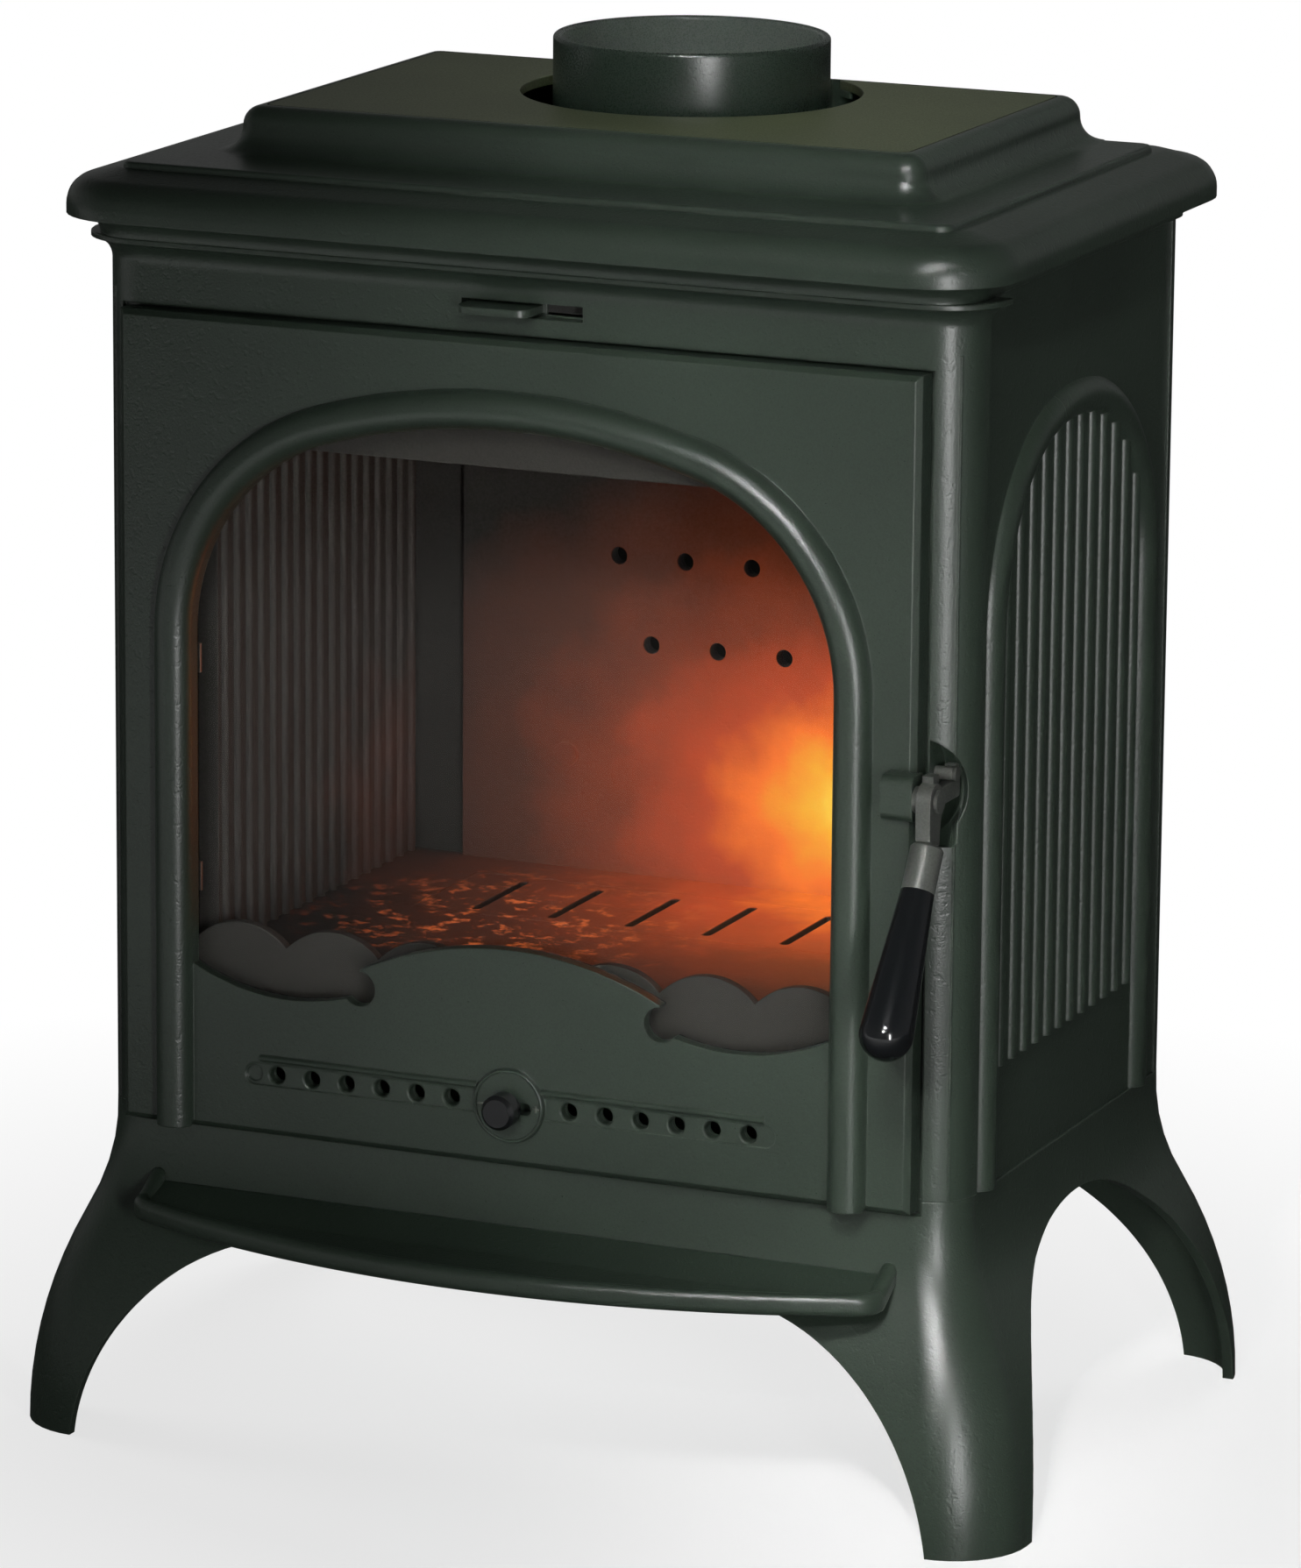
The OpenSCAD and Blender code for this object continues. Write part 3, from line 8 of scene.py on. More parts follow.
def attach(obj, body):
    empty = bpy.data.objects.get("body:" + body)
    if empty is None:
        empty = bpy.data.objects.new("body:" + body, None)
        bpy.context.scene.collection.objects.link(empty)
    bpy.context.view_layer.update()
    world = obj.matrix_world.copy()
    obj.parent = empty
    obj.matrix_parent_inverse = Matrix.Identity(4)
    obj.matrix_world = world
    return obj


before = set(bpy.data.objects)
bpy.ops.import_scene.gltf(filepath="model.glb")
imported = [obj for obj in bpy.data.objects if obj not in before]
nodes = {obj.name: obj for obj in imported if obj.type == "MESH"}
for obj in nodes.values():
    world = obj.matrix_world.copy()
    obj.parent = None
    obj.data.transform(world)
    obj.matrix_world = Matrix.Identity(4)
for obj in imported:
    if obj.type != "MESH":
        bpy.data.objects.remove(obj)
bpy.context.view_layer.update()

# The looks of a cast-iron wood stove with an arched, glazed door. Lengths are in metres:
# x runs to the viewer's right, the front faces -y, and z is the height over the floor.

# ---------------------------------------------------------------- camera

CAMERA_TURN = radians(23.43)      # to the right of the stove's front
CAMERA_RISE = radians(13.31)
CAMERA_ROLL = radians(0.48)
CAMERA_AWAY = 4.49753
LOOKS_AT = Vector((0.01023, 0.009043, 0.35055))
SENSOR_HEIGHT = 36                # millimetres, as is the lens
LENS = 190.4


def set_camera():
    """The camera that took the photograph, solved from the stove's straight edges."""
    back = Vector((sin(CAMERA_TURN) * cos(CAMERA_RISE),
                   -cos(CAMERA_TURN) * cos(CAMERA_RISE), sin(CAMERA_RISE)))
    level = Vector((cos(CAMERA_TURN), sin(CAMERA_TURN), 0))
    above = back.cross(level)
    right = level * cos(CAMERA_ROLL) + above * sin(CAMERA_ROLL)
    up = above * cos(CAMERA_ROLL) - level * sin(CAMERA_ROLL)
    camera = bpy.data.objects.new("camera", bpy.data.cameras.new("camera"))
    bpy.context.scene.collection.objects.link(camera)
    turn = Matrix((right, up, back)).transposed().to_4x4()
    camera.matrix_world = Matrix.Translation(LOOKS_AT + back * CAMERA_AWAY) @ turn
    camera.data.sensor_fit = "VERTICAL"
    camera.data.sensor_height = SENSOR_HEIGHT
    camera.data.lens = LENS
    bpy.context.scene.camera = camera


set_camera()

# ---------------------------------------------------------------- node helpers


def put(tree, node, key, value):
    """Links a socket to another, or sets it; a name has _ where the socket's has a space."""
    if isinstance(key, str):
        key = key.replace("_", " ")
    socket = node.inputs[key]
    if isinstance(value, bpy.types.NodeSocket):
        tree.links.new(value, socket)
    else:
        socket.default_value = value


def add(tree, kind, **values):
    """A node with its settings and sockets, each given by name."""
    node = tree.nodes.new(kind)
    for key, value in values.items():
        if hasattr(node, key):
            setattr(node, key, value)
        else:
            put(tree, node, key, value)
    return node


def new_group(name, takes, gives):
    """An empty node group with its inputs {name: (kind, value)} and outputs {name: kind}."""
    tree = bpy.data.node_groups.new(name, "ShaderNodeTree")
    for key, (kind, value) in takes.items():
        socket = tree.interface.new_socket(key, in_out="INPUT", socket_type="NodeSocket" + kind)
        socket.default_value = value
    for key, kind in gives.items():
        tree.interface.new_socket(key, in_out="OUTPUT", socket_type="NodeSocket" + kind)
    return tree, tree.nodes.new("NodeGroupInput").outputs, tree.nodes.new("NodeGroupOutput")


def object_place(tree):
    return add(tree, "ShaderNodeTexCoord").outputs["Object"]


def noise(tree, place, scale, detail=2.0, rough=0.5):
    return add(tree, "ShaderNodeTexNoise", Vector=place, Scale=scale, Detail=detail,
               Roughness=rough).outputs["Fac"]


def span(tree, value, low, high, to_low=0.0, to_high=1.0):
    """Value from low..high stretched to to_low..to_high and clamped."""
    node = add(tree, "ShaderNodeMapRange")
    for index, given in enumerate((value, low, high, to_low, to_high)):
        put(tree, node, index, given)
    return node.outputs[0]


def math(tree, operation, *values):
    node = add(tree, "ShaderNodeMath", operation=operation)
    for index, value in enumerate(values):
        put(tree, node, index, value)
    return node.outputs[0]


def vector_math(tree, operation, *values):
    """The result of a vector maths node: a vector for MULTIPLY, and else a number."""
    node = add(tree, "ShaderNodeVectorMath", operation=operation)
    for index, value in enumerate(values):
        put(tree, node, index, value)
    return node.outputs["Vector" if operation == "MULTIPLY" else "Value"]


def mix(tree, share, one, other):
    node = add(tree, "ShaderNodeMix", data_type="RGBA")
    for key, value in ((0, share), (6, one), (7, other)):
        put(tree, node, key, value)
    return node.outputs[2]


def show_mixed(tree, share, one, other):
    """Gives a material two shaders, the second one by its share."""
    both = add(tree, "ShaderNodeMixShader")
    for index, value in enumerate((share, one, other)):
        put(tree, both, index, value)
    tree.links.new(both.outputs[0], tree.nodes["Material Output"].inputs[0])


# ---------------------------------------------------------------- the cast skin

# Noise scales, in waves for each metre
SLOW_WAVES = 38.0
RUBBED_PATCHES = 70.0
MOTTLING = 9.0
PITS_TO_GRAIN = 0.32              # a pit is about three grains wide
PIT_DEPTH = 0.55                  # in grain heights, as is the next one
WAVE_HEIGHT = 0.8


def cast_surface_group():
    """Sand-cast skin: fine grain, shallow pits and slow waves, with softened edges."""
    tree, takes, gives = new_group("sand_cast_skin", {
        "Paint": ("Color", (0.045, 0.055, 0.047, 1)),
        "Worn": ("Color", (0.08, 0.095, 0.08, 1)),
        "Grain Size": ("Float", 900.0),
        "Grain Depth": ("Float", 0.00012),
        "Fleck": ("Float", 0.2),
        "Edge Radius": ("Float", 0.0012),
        "Gloss Low": ("Float", 0.42),
        "Gloss High": ("Float", 0.58),
    }, {"Color": "Color", "Roughness": "Float", "Normal": "Vector"})
    place = object_place(tree)
    soft = add(tree, "ShaderNodeBevel", samples=4, Radius=takes["Edge Radius"]).outputs["Normal"]
    true = add(tree, "ShaderNodeNewGeometry").outputs["Normal"]
    grain = noise(tree, place, takes["Grain Size"], 3.0, 0.65)
    pit_size = math(tree, "MULTIPLY", takes["Grain Size"], PITS_TO_GRAIN)
    pits = span(tree, noise(tree, place, pit_size, 1.0), 0.28, 0.42)
    height = math(tree, "ADD", grain, math(tree, "MULTIPLY", pits, PIT_DEPTH))
    waves = math(tree, "MULTIPLY", noise(tree, place, SLOW_WAVES, 2.0), WAVE_HEIGHT)
    bump = add(tree, "ShaderNodeBump", Strength=1.0, Distance=takes["Grain Depth"],
               Height=math(tree, "ADD", height, waves), Normal=soft)
    # The paint is rubbed thin in patches along the edges, where the softened normal leans
    edge = span(tree, vector_math(tree, "DOT_PRODUCT", soft, true), 0.995, 0.86)
    patches = span(tree, noise(tree, place, RUBBED_PATCHES, 4.0, 0.7), 0.42, 0.68)
    rubbed = math(tree, "MULTIPLY", edge, patches)
    mottle = span(tree, noise(tree, place, MOTTLING, 4.0, 0.6), 0.3, 0.7, 0.86, 1.12)
    fleck = span(tree, grain, 0.35, 0.72, math(tree, "SUBTRACT", 1.0, takes["Fleck"]),
                 math(tree, "ADD", 1.0, takes["Fleck"]))
    shade = add(tree, "ShaderNodeVectorMath", operation="SCALE",
                Scale=math(tree, "MULTIPLY", mottle, fleck))
    put(tree, shade, 0, takes["Paint"])
    put(tree, gives, "Color", mix(tree, rubbed, shade.outputs[0], takes["Worn"]))
    put(tree, gives, "Roughness", span(tree, grain, 0.3, 0.7, takes["Gloss High"],
                                       takes["Gloss Low"]))
    put(tree, gives, "Normal", bump.outputs[0])
    return tree


CAST_SKIN = cast_surface_group()


def new_material(name):
    material = bpy.data.materials.new(name)
    material.use_nodes = True
    tree = material.node_tree
    return material, tree, tree.nodes["Principled BSDF"]


def cast_material(name, paint, worn, metal=0.0, **skin):
    """A material with the cast skin, its colours and any other inputs of the skin."""
    material, tree, shader = new_material(name)
    group = tree.nodes.new("ShaderNodeGroup")
    group.node_tree = CAST_SKIN
    group.inputs["Paint"].default_value = (*paint, 1)
    group.inputs["Worn"].default_value = (*worn, 1)
    for key, value in skin.items():
        put(tree, group, key, value)
    put(tree, shader, "Base Color", group.outputs["Color"])
    put(tree, shader, "Roughness", group.outputs["Roughness"])
    put(tree, shader, "Normal", group.outputs["Normal"])
    shader.inputs["Metallic"].default_value = metal
    return material, tree, shader


# ---------------------------------------------------------------- materials

COLLAR_Y = 0.0805429              # the collar's axis, from the source
COLLAR_BORE = 0.0705
# Painted light: the bore's lighter grey stands in for the light on its inner wall
BORE_PAINTED_LIGHT = (0.085, 0.1, 0.088, 1)


def collar_paint():
    """The same paint on the turned collar, smoother and finer, with its bore painted a lighter
    grey as painted light on its inner wall.
    """
    material, tree, shader = cast_material(
        "collar_paint_with_painted_bore_light", (0.013, 0.021, 0.015), (0.07, 0.078, 0.066),
        Gloss_Low=0.24, Gloss_High=0.32, Grain_Size=1300.0, Grain_Depth=0.00006)
    flat = vector_math(tree, "MULTIPLY", object_place(tree), (1, 1, 0))
    away = vector_math(tree, "DISTANCE", flat, (0.0, COLLAR_Y, 0.0))
    bore = span(tree, away, COLLAR_BORE + 0.0012, COLLAR_BORE + 0.0002)
    coat = shader.inputs["Base Color"].links[0].from_socket
    put(tree, shader, "Base Color", mix(tree, bore, coat, BORE_PAINTED_LIGHT))
    return material


HEARTH_TOP = 0.268                # of the grate and the hearth plate
LINING_FACE = 0.12504             # front of the rear lining
# Painted glow: emission on the inner castings that stands in for the fire's light, round this
# centre
PAINTED_GLOW_CENTRE = Vector((0.09, 0.12, 0.318))
GLOW_SQUEEZE = (1.0, 1.0, 1.4)    # the glow reaches less far up and down than sideways
GLOW_REACH = 0.30                 # from the painted glow's centre to where the glow is gone
GLOW_CORE = 0.02                  # from the painted glow's centre to where it is at its brightest
GLOW = ((0.0, (0.0, 0.0, 0.0)), (0.307, (0.05, 0.010, 0.003)), (0.511, (0.17, 0.026, 0.005)),
        (0.707, (0.46, 0.058, 0.012)), (0.843, (0.95, 0.19, 0.02)),
        (0.964, (0.97, 0.46, 0.03)), (1.0, (1.0, 0.62, 0.06)))
# Painted embers: where and in what colour the hearth casting glows as if embers lay on it
PAINTED_EMBERS_CENTRE = Vector((-0.062, 0.0, 0.268))
PAINTED_EMBER_GLOW = (0.62, 0.13, 0.03, 1)


def hearth_casting_painted_glow():
    """Bare inner casting with the fire's light painted on as glowing emission, strongest low down
    at the right.
    """
    material, tree, shader = cast_material(
        "inner_casting_painted_glow", (0.0055, 0.0055, 0.0055), (0.03, 0.028, 0.026),
        Gloss_Low=0.6, Gloss_High=0.8, Grain_Size=700.0, Fleck=0.1)
    place = object_place(tree)
    away = vector_math(tree, "DISTANCE", vector_math(tree, "MULTIPLY", place, GLOW_SQUEEZE),
                       tuple(a * b for a, b in zip(PAINTED_GLOW_CENTRE, GLOW_SQUEEZE)))
    ragged = span(tree, noise(tree, place, 26.0, 3.0, 0.6), 0.3, 0.7, -0.012, 0.012)
    painted_glow_share = span(tree, math(tree, "ADD", away, ragged), GLOW_REACH, GLOW_CORE)
    # No painted glow in the slots, holes and joints, which the fire's light doesn't reach
    where = add(tree, "ShaderNodeSeparateXYZ", Vector=place)
    above = span(tree, where.outputs["Z"], HEARTH_TOP - 0.0012, HEARTH_TOP - 0.0002)
    before = span(tree, where.outputs["Y"], LINING_FACE + 0.0015, LINING_FACE + 0.0004)
    open_to_fire = math(tree, "MULTIPLY", above, before)
    ramp = add(tree, "ShaderNodeValToRGB", Fac=math(tree, "MULTIPLY", painted_glow_share, open_to_fire))
    bands = ramp.color_ramp.elements
    for band, (position, colour) in zip(bands, (GLOW[0], GLOW[-1])):
        band.position, band.color = position, (*colour, 1)
    for position, colour in GLOW[1:-1]:
        bands.new(position).color = (*colour, 1)
    # Painted embers: glowing spots of emission strewn over the left half of the hearth casting
    strewn = span(tree, vector_math(tree, "DISTANCE", place, PAINTED_EMBERS_CENTRE), 0.13, 0.03)
    lumps = span(tree, noise(tree, place, 95.0, 5.0, 0.7), 0.53, 0.68)
    painted_embers = math(tree, "MULTIPLY", math(tree, "MULTIPLY", strewn, lumps), above)
    put(tree, shader, "Emission Color", mix(tree, painted_embers, ramp.outputs["Color"], PAINTED_EMBER_GLOW))
    shader.inputs["Emission Strength"].default_value = 1.0
    return material


def black_gloss(name, rough):
    """Moulded black plastic: deep gloss with faint orange peel."""
    material, tree, shader = new_material(name)
    place = object_place(tree)
    bump = add(tree, "ShaderNodeBump", Strength=0.25, Distance=0.0002,
               Height=noise(tree, place, 160.0, 2.0))
    shader.inputs["Base Color"].default_value = (0.004, 0.0045, 0.005, 1)
    put(tree, shader, "Roughness", span(tree, noise(tree, place, 45.0, 3.0), 0.3, 0.7,
                                        rough, rough + 0.08))
    put(tree, shader, "Normal", bump.outputs[0])
    return material


def ceramic_glass():
    """Faintly tinted pane; lamps shine straight through it, so what lies behind is lit."""
    material, tree, shader = new_material("ceramic_glass_tinted")
    shader.inputs["Base Color"].default_value = (0.93, 0.9, 0.87, 1)
    shader.inputs["Transmission Weight"].default_value = 1.0
    shader.inputs["IOR"].default_value = 1.13
    shader.inputs["Roughness"].default_value = 0.0
    clear = add(tree, "ShaderNodeBsdfTransparent", Color=(0.86, 0.84, 0.8, 1))
    path = add(tree, "ShaderNodeLightPath")
    show_mixed(tree, path.outputs["Is Shadow Ray"], shader.outputs[0], clear.outputs[0])
    return material


def rope_fibre():
    """Charcoal rope and tape with a slanting weave."""
    material, tree, shader = new_material("rope_seal_fibre")
    strand = add(tree, "ShaderNodeTexWave", Vector=object_place(tree), Scale=90.0,
                 Distortion=2.0, bands_direction="DIAGONAL").outputs["Fac"]
    bump = add(tree, "ShaderNodeBump", Strength=0.8, Distance=0.001, Height=strand)
    put(tree, shader, "Base Color", mix(tree, strand, (0.01, 0.01, 0.01, 1),
                                        (0.045, 0.043, 0.04, 1)))
    shader.inputs["Roughness"].default_value = 0.95
    put(tree, shader, "Normal", bump.outputs[0])
    return material


PAINT = cast_material("outer_casting_paint", (0.021, 0.031, 0.0225), (0.066, 0.082, 0.064),
                      Gloss_Low=0.27, Gloss_High=0.36)[0]
# The same paint where hands and tools have polished it
WORN_PAINT = cast_material("outer_paint_rubbed", (0.09, 0.1, 0.083), (0.15, 0.16, 0.14),
                           Gloss_Low=0.3, Gloss_High=0.42)[0]
COLLAR = collar_paint()
# The flat cover plate's coat, rougher than the body paint and a shade lighter and browner, which
# is partly painted warm light on its upward face
COVER_COAT_AND_PAINTED_LIGHT = cast_material("cover_plate_paint_and_painted_light", (0.050, 0.060, 0.030), (0.09, 0.095, 0.07),
                      Gloss_Low=0.4, Gloss_High=0.52)[0]
# Inner castings with the fire's light painted on as glowing emission
HEARTH_PAINTED_GLOW = hearth_casting_painted_glow()
CASTING = cast_material("firebox_casting", (0.012, 0.013, 0.0128), (0.06, 0.064, 0.06),
                        Gloss_Low=0.6, Gloss_High=0.8, Grain_Size=700.0, Fleck=0.1)[0]
LATCH = cast_material("latch_iron_satin", (0.075, 0.08, 0.072), (0.2, 0.21, 0.19), metal=0.35,
                      Gloss_Low=0.3, Gloss_High=0.42, Grain_Depth=0.00005,
                      Edge_Radius=0.0008)[0]
STEEL = cast_material("fastener_steel", (0.3, 0.3, 0.29), (0.5, 0.5, 0.48), metal=1.0,
                      Gloss_Low=0.28, Gloss_High=0.42, Grain_Size=1600.0,
                      Grain_Depth=0.00002, Edge_Radius=0.0004)[0]
SHEET = cast_material("sheet_steel_dark", (0.05, 0.05, 0.047), (0.12, 0.12, 0.11), metal=0.6,
                      Gloss_Low=0.4, Gloss_High=0.55, Grain_Depth=0.00003)[0]
GRIP = black_gloss("grip_black_gloss", 0.08)
KNOB = black_gloss("knob_black", 0.25)
GLASS = ceramic_glass()
ROPE = rope_fibre()

FINISHES = {
    PAINT: ("base_casting", "ash_lip", "front_frame", "side_panel_left", "side_panel_right",
            "back_panel", "top_plate", "door", "ash_lip_screws", "band_slide",
            "air_slide"),
    COLLAR: ("flue_collar",),
    COVER_COAT_AND_PAINTED_LIGHT: ("cover_plate",),
    HEARTH_PAINTED_GLOW: ("hearth_plate", "grate", "side_lining_left", "side_lining_right", "rear_lining",
             "rear_lining_bolt", "rear_air_box"),
    CASTING: ("baffle_plate", "firebox_top", "air_wash_deflector", "log_guard"),
    SHEET: ("ash_pan", "band_slide_keeper", "slide_keepers"),
    STEEL: ("collar_bolts", "tie_rods", "tie_rod_nuts", "band_screws", "hinge_pins",
            "glass_clips", "clip_screws", "keeper_screws"),
    LATCH: ("catch_stud", "catch_sleeve", "latch_pivot_pin", "latch_lever", "handle_stud",
            "handle_ferrule"),
    GRIP: ("handle_grip",),
    KNOB: ("air_knob",),
    GLASS: ("door_glass",),
    ROPE: ("door_gasket", "glass_gasket"),
}
for material, names in FINISHES.items():
    for name in names:
        for place in nodes[name].material_slots:
            place.material = material

# ---------------------------------------------------------------- smooth curves

SHARP_BEND = radians(24)
LOOSE_GAP = 0.00002
SMOOTHED = ("base_casting", "top_plate", "front_frame", "ash_lip")


def smoothing():
    """Modifier nodes that join a casting's loose triangles and shade its curves smooth."""
    tree = bpy.data.node_groups.new("smooth_curves", "GeometryNodeTree")
    for way in ("INPUT", "OUTPUT"):
        tree.interface.new_socket("Geometry", in_out=way, socket_type="NodeSocketGeometry")
    shape = tree.nodes.new("NodeGroupInput").outputs[0]
    joined = add(tree, "GeometryNodeMergeByDistance", Geometry=shape, Distance=LOOSE_GAP)
    faces = add(tree, "GeometryNodeSetShadeSmooth", domain="FACE", Geometry=joined.outputs[0],
                Shade_Smooth=True)
    bend = add(tree, "GeometryNodeInputMeshEdgeAngle").outputs["Unsigned Angle"]
    sharp = add(tree, "FunctionNodeCompare", data_type="FLOAT", operation="GREATER_THAN")
    put(tree, sharp, 0, bend)
    put(tree, sharp, 1, SHARP_BEND)
    edges = add(tree, "GeometryNodeSetShadeSmooth", domain="EDGE", Geometry=faces.outputs[0],
                Selection=sharp.outputs[0], Shade_Smooth=False)
    tree.links.new(edges.outputs[0], tree.nodes.new("NodeGroupOutput").inputs[0])
    return tree


SMOOTHING = smoothing()
for name in SMOOTHED:
    joined = nodes[name].modifiers.new("smooth_curves", "NODES")
    joined.node_group = SMOOTHING
    weighted = nodes[name].modifiers.new("weighted_normals", "WEIGHTED_NORMAL")
    weighted.keep_sharp = True

# ---------------------------------------------------------------- pieces made here

SIDE_X = 0.2485                   # outer face of the side panels
SIDE_BEAD_R = 0.0105
SIDE_BEAD_SINK = 0.004            # from that face in to the middle of the bead
BEAD_ROOT = 0.0008                # from that face in to where the bead is cut off
CROWN_Z = 0.5815                  # middle of the bead at the top of the side arch
CROWN_R = 0.160
CROWN_Y = 0.0160429
CROWN_HALF_TURN = radians(10.615)

CARTOUCHE = Vector((-0.0017, -0.149457, 0.2077))   # middle of the raised disc round the knob
RIM_R = 0.0192
RIM_TUBE_R = 0.0010
SIGN_OUT = 0.0160                 # from the disc's middle to a sign's, clear of the knob's slot
SIGN_SINK = -0.0001
SIGN_LONG = 0.0038
SIGN_WIDE = 0.0011
SIGN_THICK = 0.0007
SIGN_EDGE = 0.0002
CROSSBAR_STEP = -0.00002          # so that the two bars of the plus share no face

ROUND_BELOW = radians(35)         # a gentler bend than this is shaded smooth


def closed(shape, name, body, material):
    """A finished piece from a bmesh: smooth between its sharp bends, riding on a body."""
    bmesh.ops.remove_doubles(shape, verts=shape.verts, dist=1e-6)
    bmesh.ops.recalc_face_normals(shape, faces=shape.faces)
    for face in shape.faces:
        face.smooth = True
    for edge in shape.edges:
        edge.smooth = edge.calc_face_angle(0) < ROUND_BELOW
    mesh = bpy.data.meshes.new(name)
    shape.to_mesh(mesh)
    shape.free()
    mesh.materials.append(material)
    piece = bpy.data.objects.new(name, mesh)
    bpy.context.scene.collection.objects.link(piece)
    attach(piece, body)
    return piece


def side_bead_crown(name, side):
    """The top stretch of a side arch's bead, between the two stretches on the casting."""
    shape = bmesh.new()
    middle = Vector((side * (SIDE_X - SIDE_BEAD_SINK), CROWN_Y, CROWN_Z))
    place = Matrix.Translation(middle) @ Matrix.Rotation(radians(90), 4, "X")
    bmesh.ops.create_circle(shape, cap_ends=True, segments=64, radius=SIDE_BEAD_R, matrix=place)
    bmesh.ops.bisect_plane(shape, geom=shape.verts[:] + shape.edges[:] + shape.faces[:],
                           plane_co=(side * (SIDE_X - BEAD_ROOT), 0, 0),
                           plane_no=(-side, 0, 0), clear_outer=True)
    axle = Vector((0, CROWN_Y, CROWN_Z - CROWN_R))
    bmesh.ops.rotate(shape, verts=shape.verts, cent=axle,
                     matrix=Matrix.Rotation(-CROWN_HALF_TURN, 3, "X"))
    bmesh.ops.spin(shape, geom=shape.verts[:] + shape.edges[:] + shape.faces[:], cent=axle,
                   axis=(1, 0, 0), angle=2 * CROWN_HALF_TURN, steps=20)
    closed(shape, name, "stove", PAINT)


def cartouche_rim():
    """Fine raised ring round the disc behind the air knob."""
    shape = bmesh.new()
    place = Matrix.Translation(CARTOUCHE + Vector((RIM_R, 0, 0)))
    bmesh.ops.create_circle(shape, segments=12, radius=RIM_TUBE_R, matrix=place)
    bmesh.ops.spin(shape, geom=shape.verts[:] + shape.edges[:], cent=CARTOUCHE, axis=(0, 1, 0),
                   angle=radians(360), steps=72, use_merge=True)
    closed(shape, "cartouche_rim", "door", PAINT)


def sign_bar(shape, middle, long, tall):
    place = Matrix.Translation(middle) @ Matrix.Diagonal((long, SIGN_THICK, tall, 1))
    bar = bmesh.ops.create_cube(shape, size=1.0, matrix=place)
    edges = {edge for vert in bar["verts"] for edge in vert.link_edges}
    bmesh.ops.bevel(shape, geom=list(edges), offset=SIGN_EDGE, affect="EDGES", segments=2,
                    profile=0.5, material=-1)


def less_and_more():
    """Raised minus and plus beside the knob, which say nothing but less and more air."""
    for name, side in (("less_sign", -1), ("more_sign", 1)):
        shape = bmesh.new()
        middle = CARTOUCHE + Vector((side * SIGN_OUT, SIGN_SINK, 0))
        sign_bar(shape, middle, SIGN_LONG, SIGN_WIDE)
        if side > 0:
            sign_bar(shape, middle + Vector((0, CROSSBAR_STEP, 0)), SIGN_WIDE, SIGN_LONG)
        closed(shape, name, "door", WORN_PAINT)


side_bead_crown("side_bead_crown_right", 1)
side_bead_crown("side_bead_crown_left", -1)
cartouche_rim()
less_and_more()

# ---------------------------------------------------------------- room

WHITE = (1, 1, 1, 1)
FLOOR_GREY = (0.8, 0.8, 0.8, 1)
FLOOR_HALF = 30
ROOM_LEVEL = 0.032                # faint even light from all round
MIRRORED_WALL = 0.12              # how bright the white wall is in metal and glass
WALL_FADES = (0.3, 0.6)           # over these slopes upwards a mirrored ray misses the wall
SHADOW_REACH = (0.3, 0.9)         # from the middle, where the floor's shadow shows less and less
SHADOW_WHITE = 0.72               # the floor's own white under the stove, the rest takes shadow
FRONT_BEGINS = (-0.4, -1.5)       # y over which the mirrored floor grows bright
FRONT_ENDS = (-2.0, -2.5)         # y over which it grows dark again
UNDER_STOVE = 0.02                # how bright it is nearer than that


def seen_rays(tree):
    """1 for rays that show the background: straight ones, and mirrored ones, to the camera."""
    path = add(tree, "ShaderNodeLightPath")
    first = math(tree, "SUBTRACT", 1.0, math(tree, "MINIMUM", path.outputs["Diffuse Depth"], 1.0))
    turned = math(tree, "MINIMUM", path.outputs["Glossy Depth"], 1.0)
    glass = math(tree, "MULTIPLY", path.outputs["Is Transmission Ray"],
                 math(tree, "SUBTRACT", 1.0, turned))
    straight = math(tree, "MAXIMUM", path.outputs["Is Camera Ray"],
                    math(tree, "MULTIPLY", glass, first))
    mirror = math(tree, "MAXIMUM", path.outputs["Is Glossy Ray"],
                  math(tree, "MULTIPLY", path.outputs["Is Transmission Ray"], turned))
    return straight, math(tree, "MULTIPLY", mirror, first)


def set_world():
    """White where it is seen, a dimmer wall where it is mirrored, and almost no light."""
    world = bpy.data.worlds.new("studio")
    world.use_nodes = True
    tree = world.node_tree
    tree.nodes.clear()
    straight, mirrored = seen_rays(tree)
    facing = add(tree, "ShaderNodeSeparateXYZ",
                 Vector=add(tree, "ShaderNodeTexCoord").outputs["Generated"])
    wall = span(tree, facing.outputs["Z"], *WALL_FADES, MIRRORED_WALL, 0.0)
    white = math(tree, "MAXIMUM", straight, math(tree, "MULTIPLY", mirrored, wall))
    level = span(tree, white, 0.0, 1.0, ROOM_LEVEL, 1.0)
    sky = add(tree, "ShaderNodeBackground", Color=WHITE, Strength=level)
    out = tree.nodes.new("ShaderNodeOutputWorld")
    tree.links.new(sky.outputs[0], out.inputs[0])
    bpy.context.scene.world = world


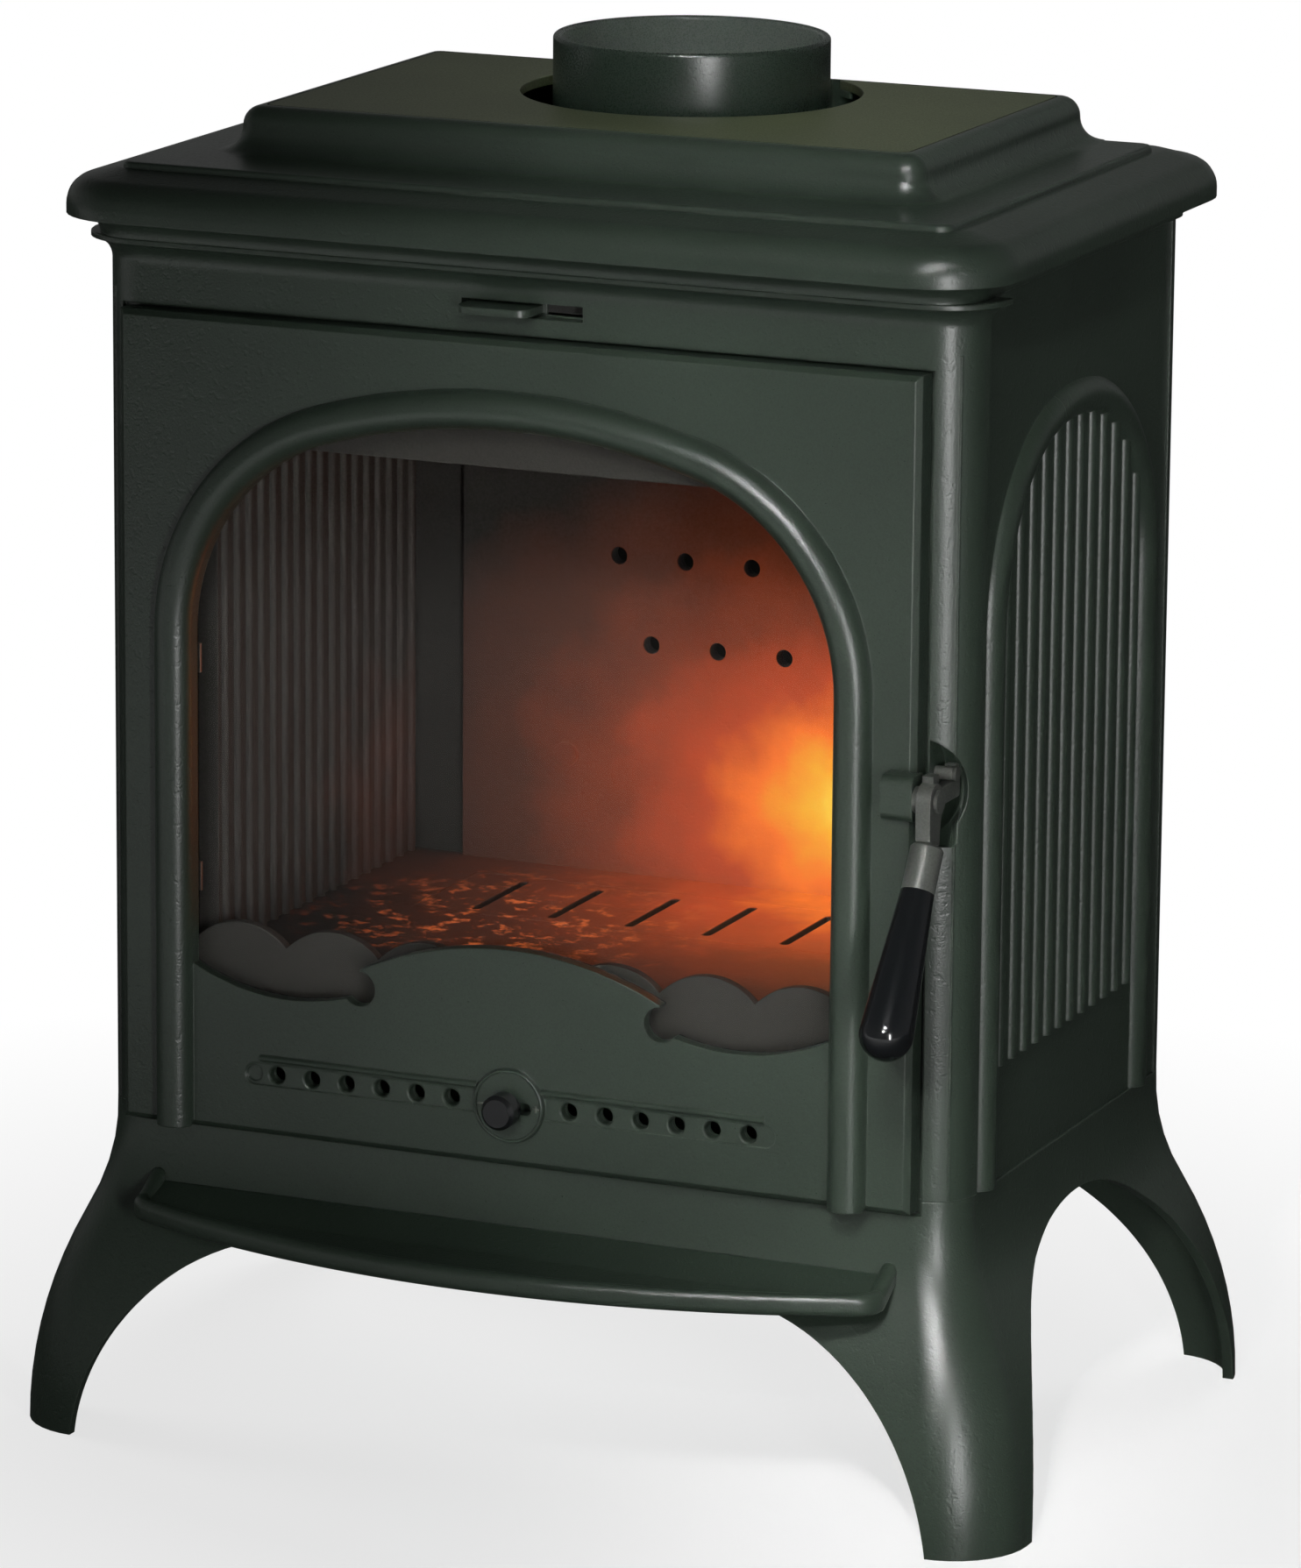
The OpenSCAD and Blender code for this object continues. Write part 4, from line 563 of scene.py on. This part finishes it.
def floor_material():
    """Pale floor, white where it is seen away from the stove, whose shadow it keeps."""
    material, tree, shader = new_material("studio_floor")
    tree.nodes.remove(shader)
    straight, mirrored = seen_rays(tree)
    place = object_place(tree)
    plain = span(tree, vector_math(tree, "LENGTH", place), *SHADOW_REACH, SHADOW_WHITE, 1.0)
    forward = add(tree, "ShaderNodeSeparateXYZ", Vector=place).outputs["Y"]
    front = math(tree, "MULTIPLY", span(tree, forward, *FRONT_BEGINS, UNDER_STOVE, 1.0),
                 span(tree, forward, *FRONT_ENDS, 1.0, 0.0))
    own_white = math(tree, "MAXIMUM", math(tree, "MULTIPLY", straight, plain), mirrored)
    pale = add(tree, "ShaderNodeBsdfDiffuse", Color=FLOOR_GREY)
    white = add(tree, "ShaderNodeEmission", Color=WHITE,
                Strength=math(tree, "MAXIMUM", straight, front))
    show_mixed(tree, own_white, pale.outputs[0], white.outputs[0])
    return material


def make_floor():
    shape = bmesh.new()
    bmesh.ops.create_grid(shape, x_segments=1, y_segments=1, size=FLOOR_HALF)
    mesh = bpy.data.meshes.new("floor")
    shape.to_mesh(mesh)
    shape.free()
    mesh.materials.append(floor_material())
    floor = bpy.data.objects.new("floor", mesh)
    bpy.context.scene.collection.objects.link(floor)


set_world()
make_floor()

# ---------------------------------------------------------------- lamps

MIDDLE = (0, 0, 0.4)
# Name, degrees to the right of the stove's front, degrees up, metres away, width and height,
# watts, what it faces, and the degrees over which it spreads
LAMPS = (
    ("key", 8, 24, 3.0, (0.4, 0.4), 0.56, (0.13, -0.15, 0.40), 8),
    ("strip", 38, 0, 2.4, (0.16, 0.76), 24, MIDDLE, 180),
    ("foot_lamp", 14, 42, 2.4, (0.2, 0.3), 0.30, (0.23, -0.17, 0.08), 10),
    ("top_lamp", 22, 37, 2.4, (0.3, 0.3), 0.42, (0.09, 0.03, 0.72), 10),
)
# The same, for soft light only, with no image of the lamp in the paint
FILLS = (
    ("back", 170, 24, 2.8, (1.2, 1.2), 36, MIDDLE, 180),
    ("left", 262, 16, 2.8, (1.2, 1.2), 26, MIDDLE, 180),
)
FIRE_WATTS = 0.9
FIRE_COLOUR = (1.0, 0.33, 0.06)
FIRE_RADIUS = 0.03
FIRE_PLACE = (0.10, 0.05, 0.33)


def area_light(name, turn, rise, away, size, power, target, spread):
    """A soft lamp that faces its target and stays out of the picture."""
    lamp = bpy.data.lights.new(name, "AREA")
    lamp.shape = "RECTANGLE"
    lamp.size, lamp.size_y = size
    lamp.energy = power
    lamp.spread = radians(spread)
    light = bpy.data.objects.new(name, lamp)
    light.visible_camera = False
    turn, rise = radians(turn), radians(rise)
    towards = Vector((sin(turn) * cos(rise), -cos(turn) * cos(rise), sin(rise)))
    light.location = Vector(target) + towards * away
    light.rotation_euler = towards.to_track_quat("Z", "Y").to_euler()
    bpy.context.scene.collection.objects.link(light)
    return light


def fire_light():
    """The fire's light on what stands round it; its image in gloss and glass is left out."""
    lamp = bpy.data.lights.new("fire", "POINT")
    lamp.energy = FIRE_WATTS
    lamp.color = FIRE_COLOUR
    lamp.shadow_soft_size = FIRE_RADIUS
    light = bpy.data.objects.new("fire", lamp)
    light.visible_transmission = False
    light.visible_glossy = False
    light.location = FIRE_PLACE
    bpy.context.scene.collection.objects.link(light)


for settings in LAMPS:
    area_light(*settings)
for settings in FILLS:
    area_light(*settings).visible_glossy = False
fire_light()
bpy.context.scene.view_settings.view_transform = "Standard"
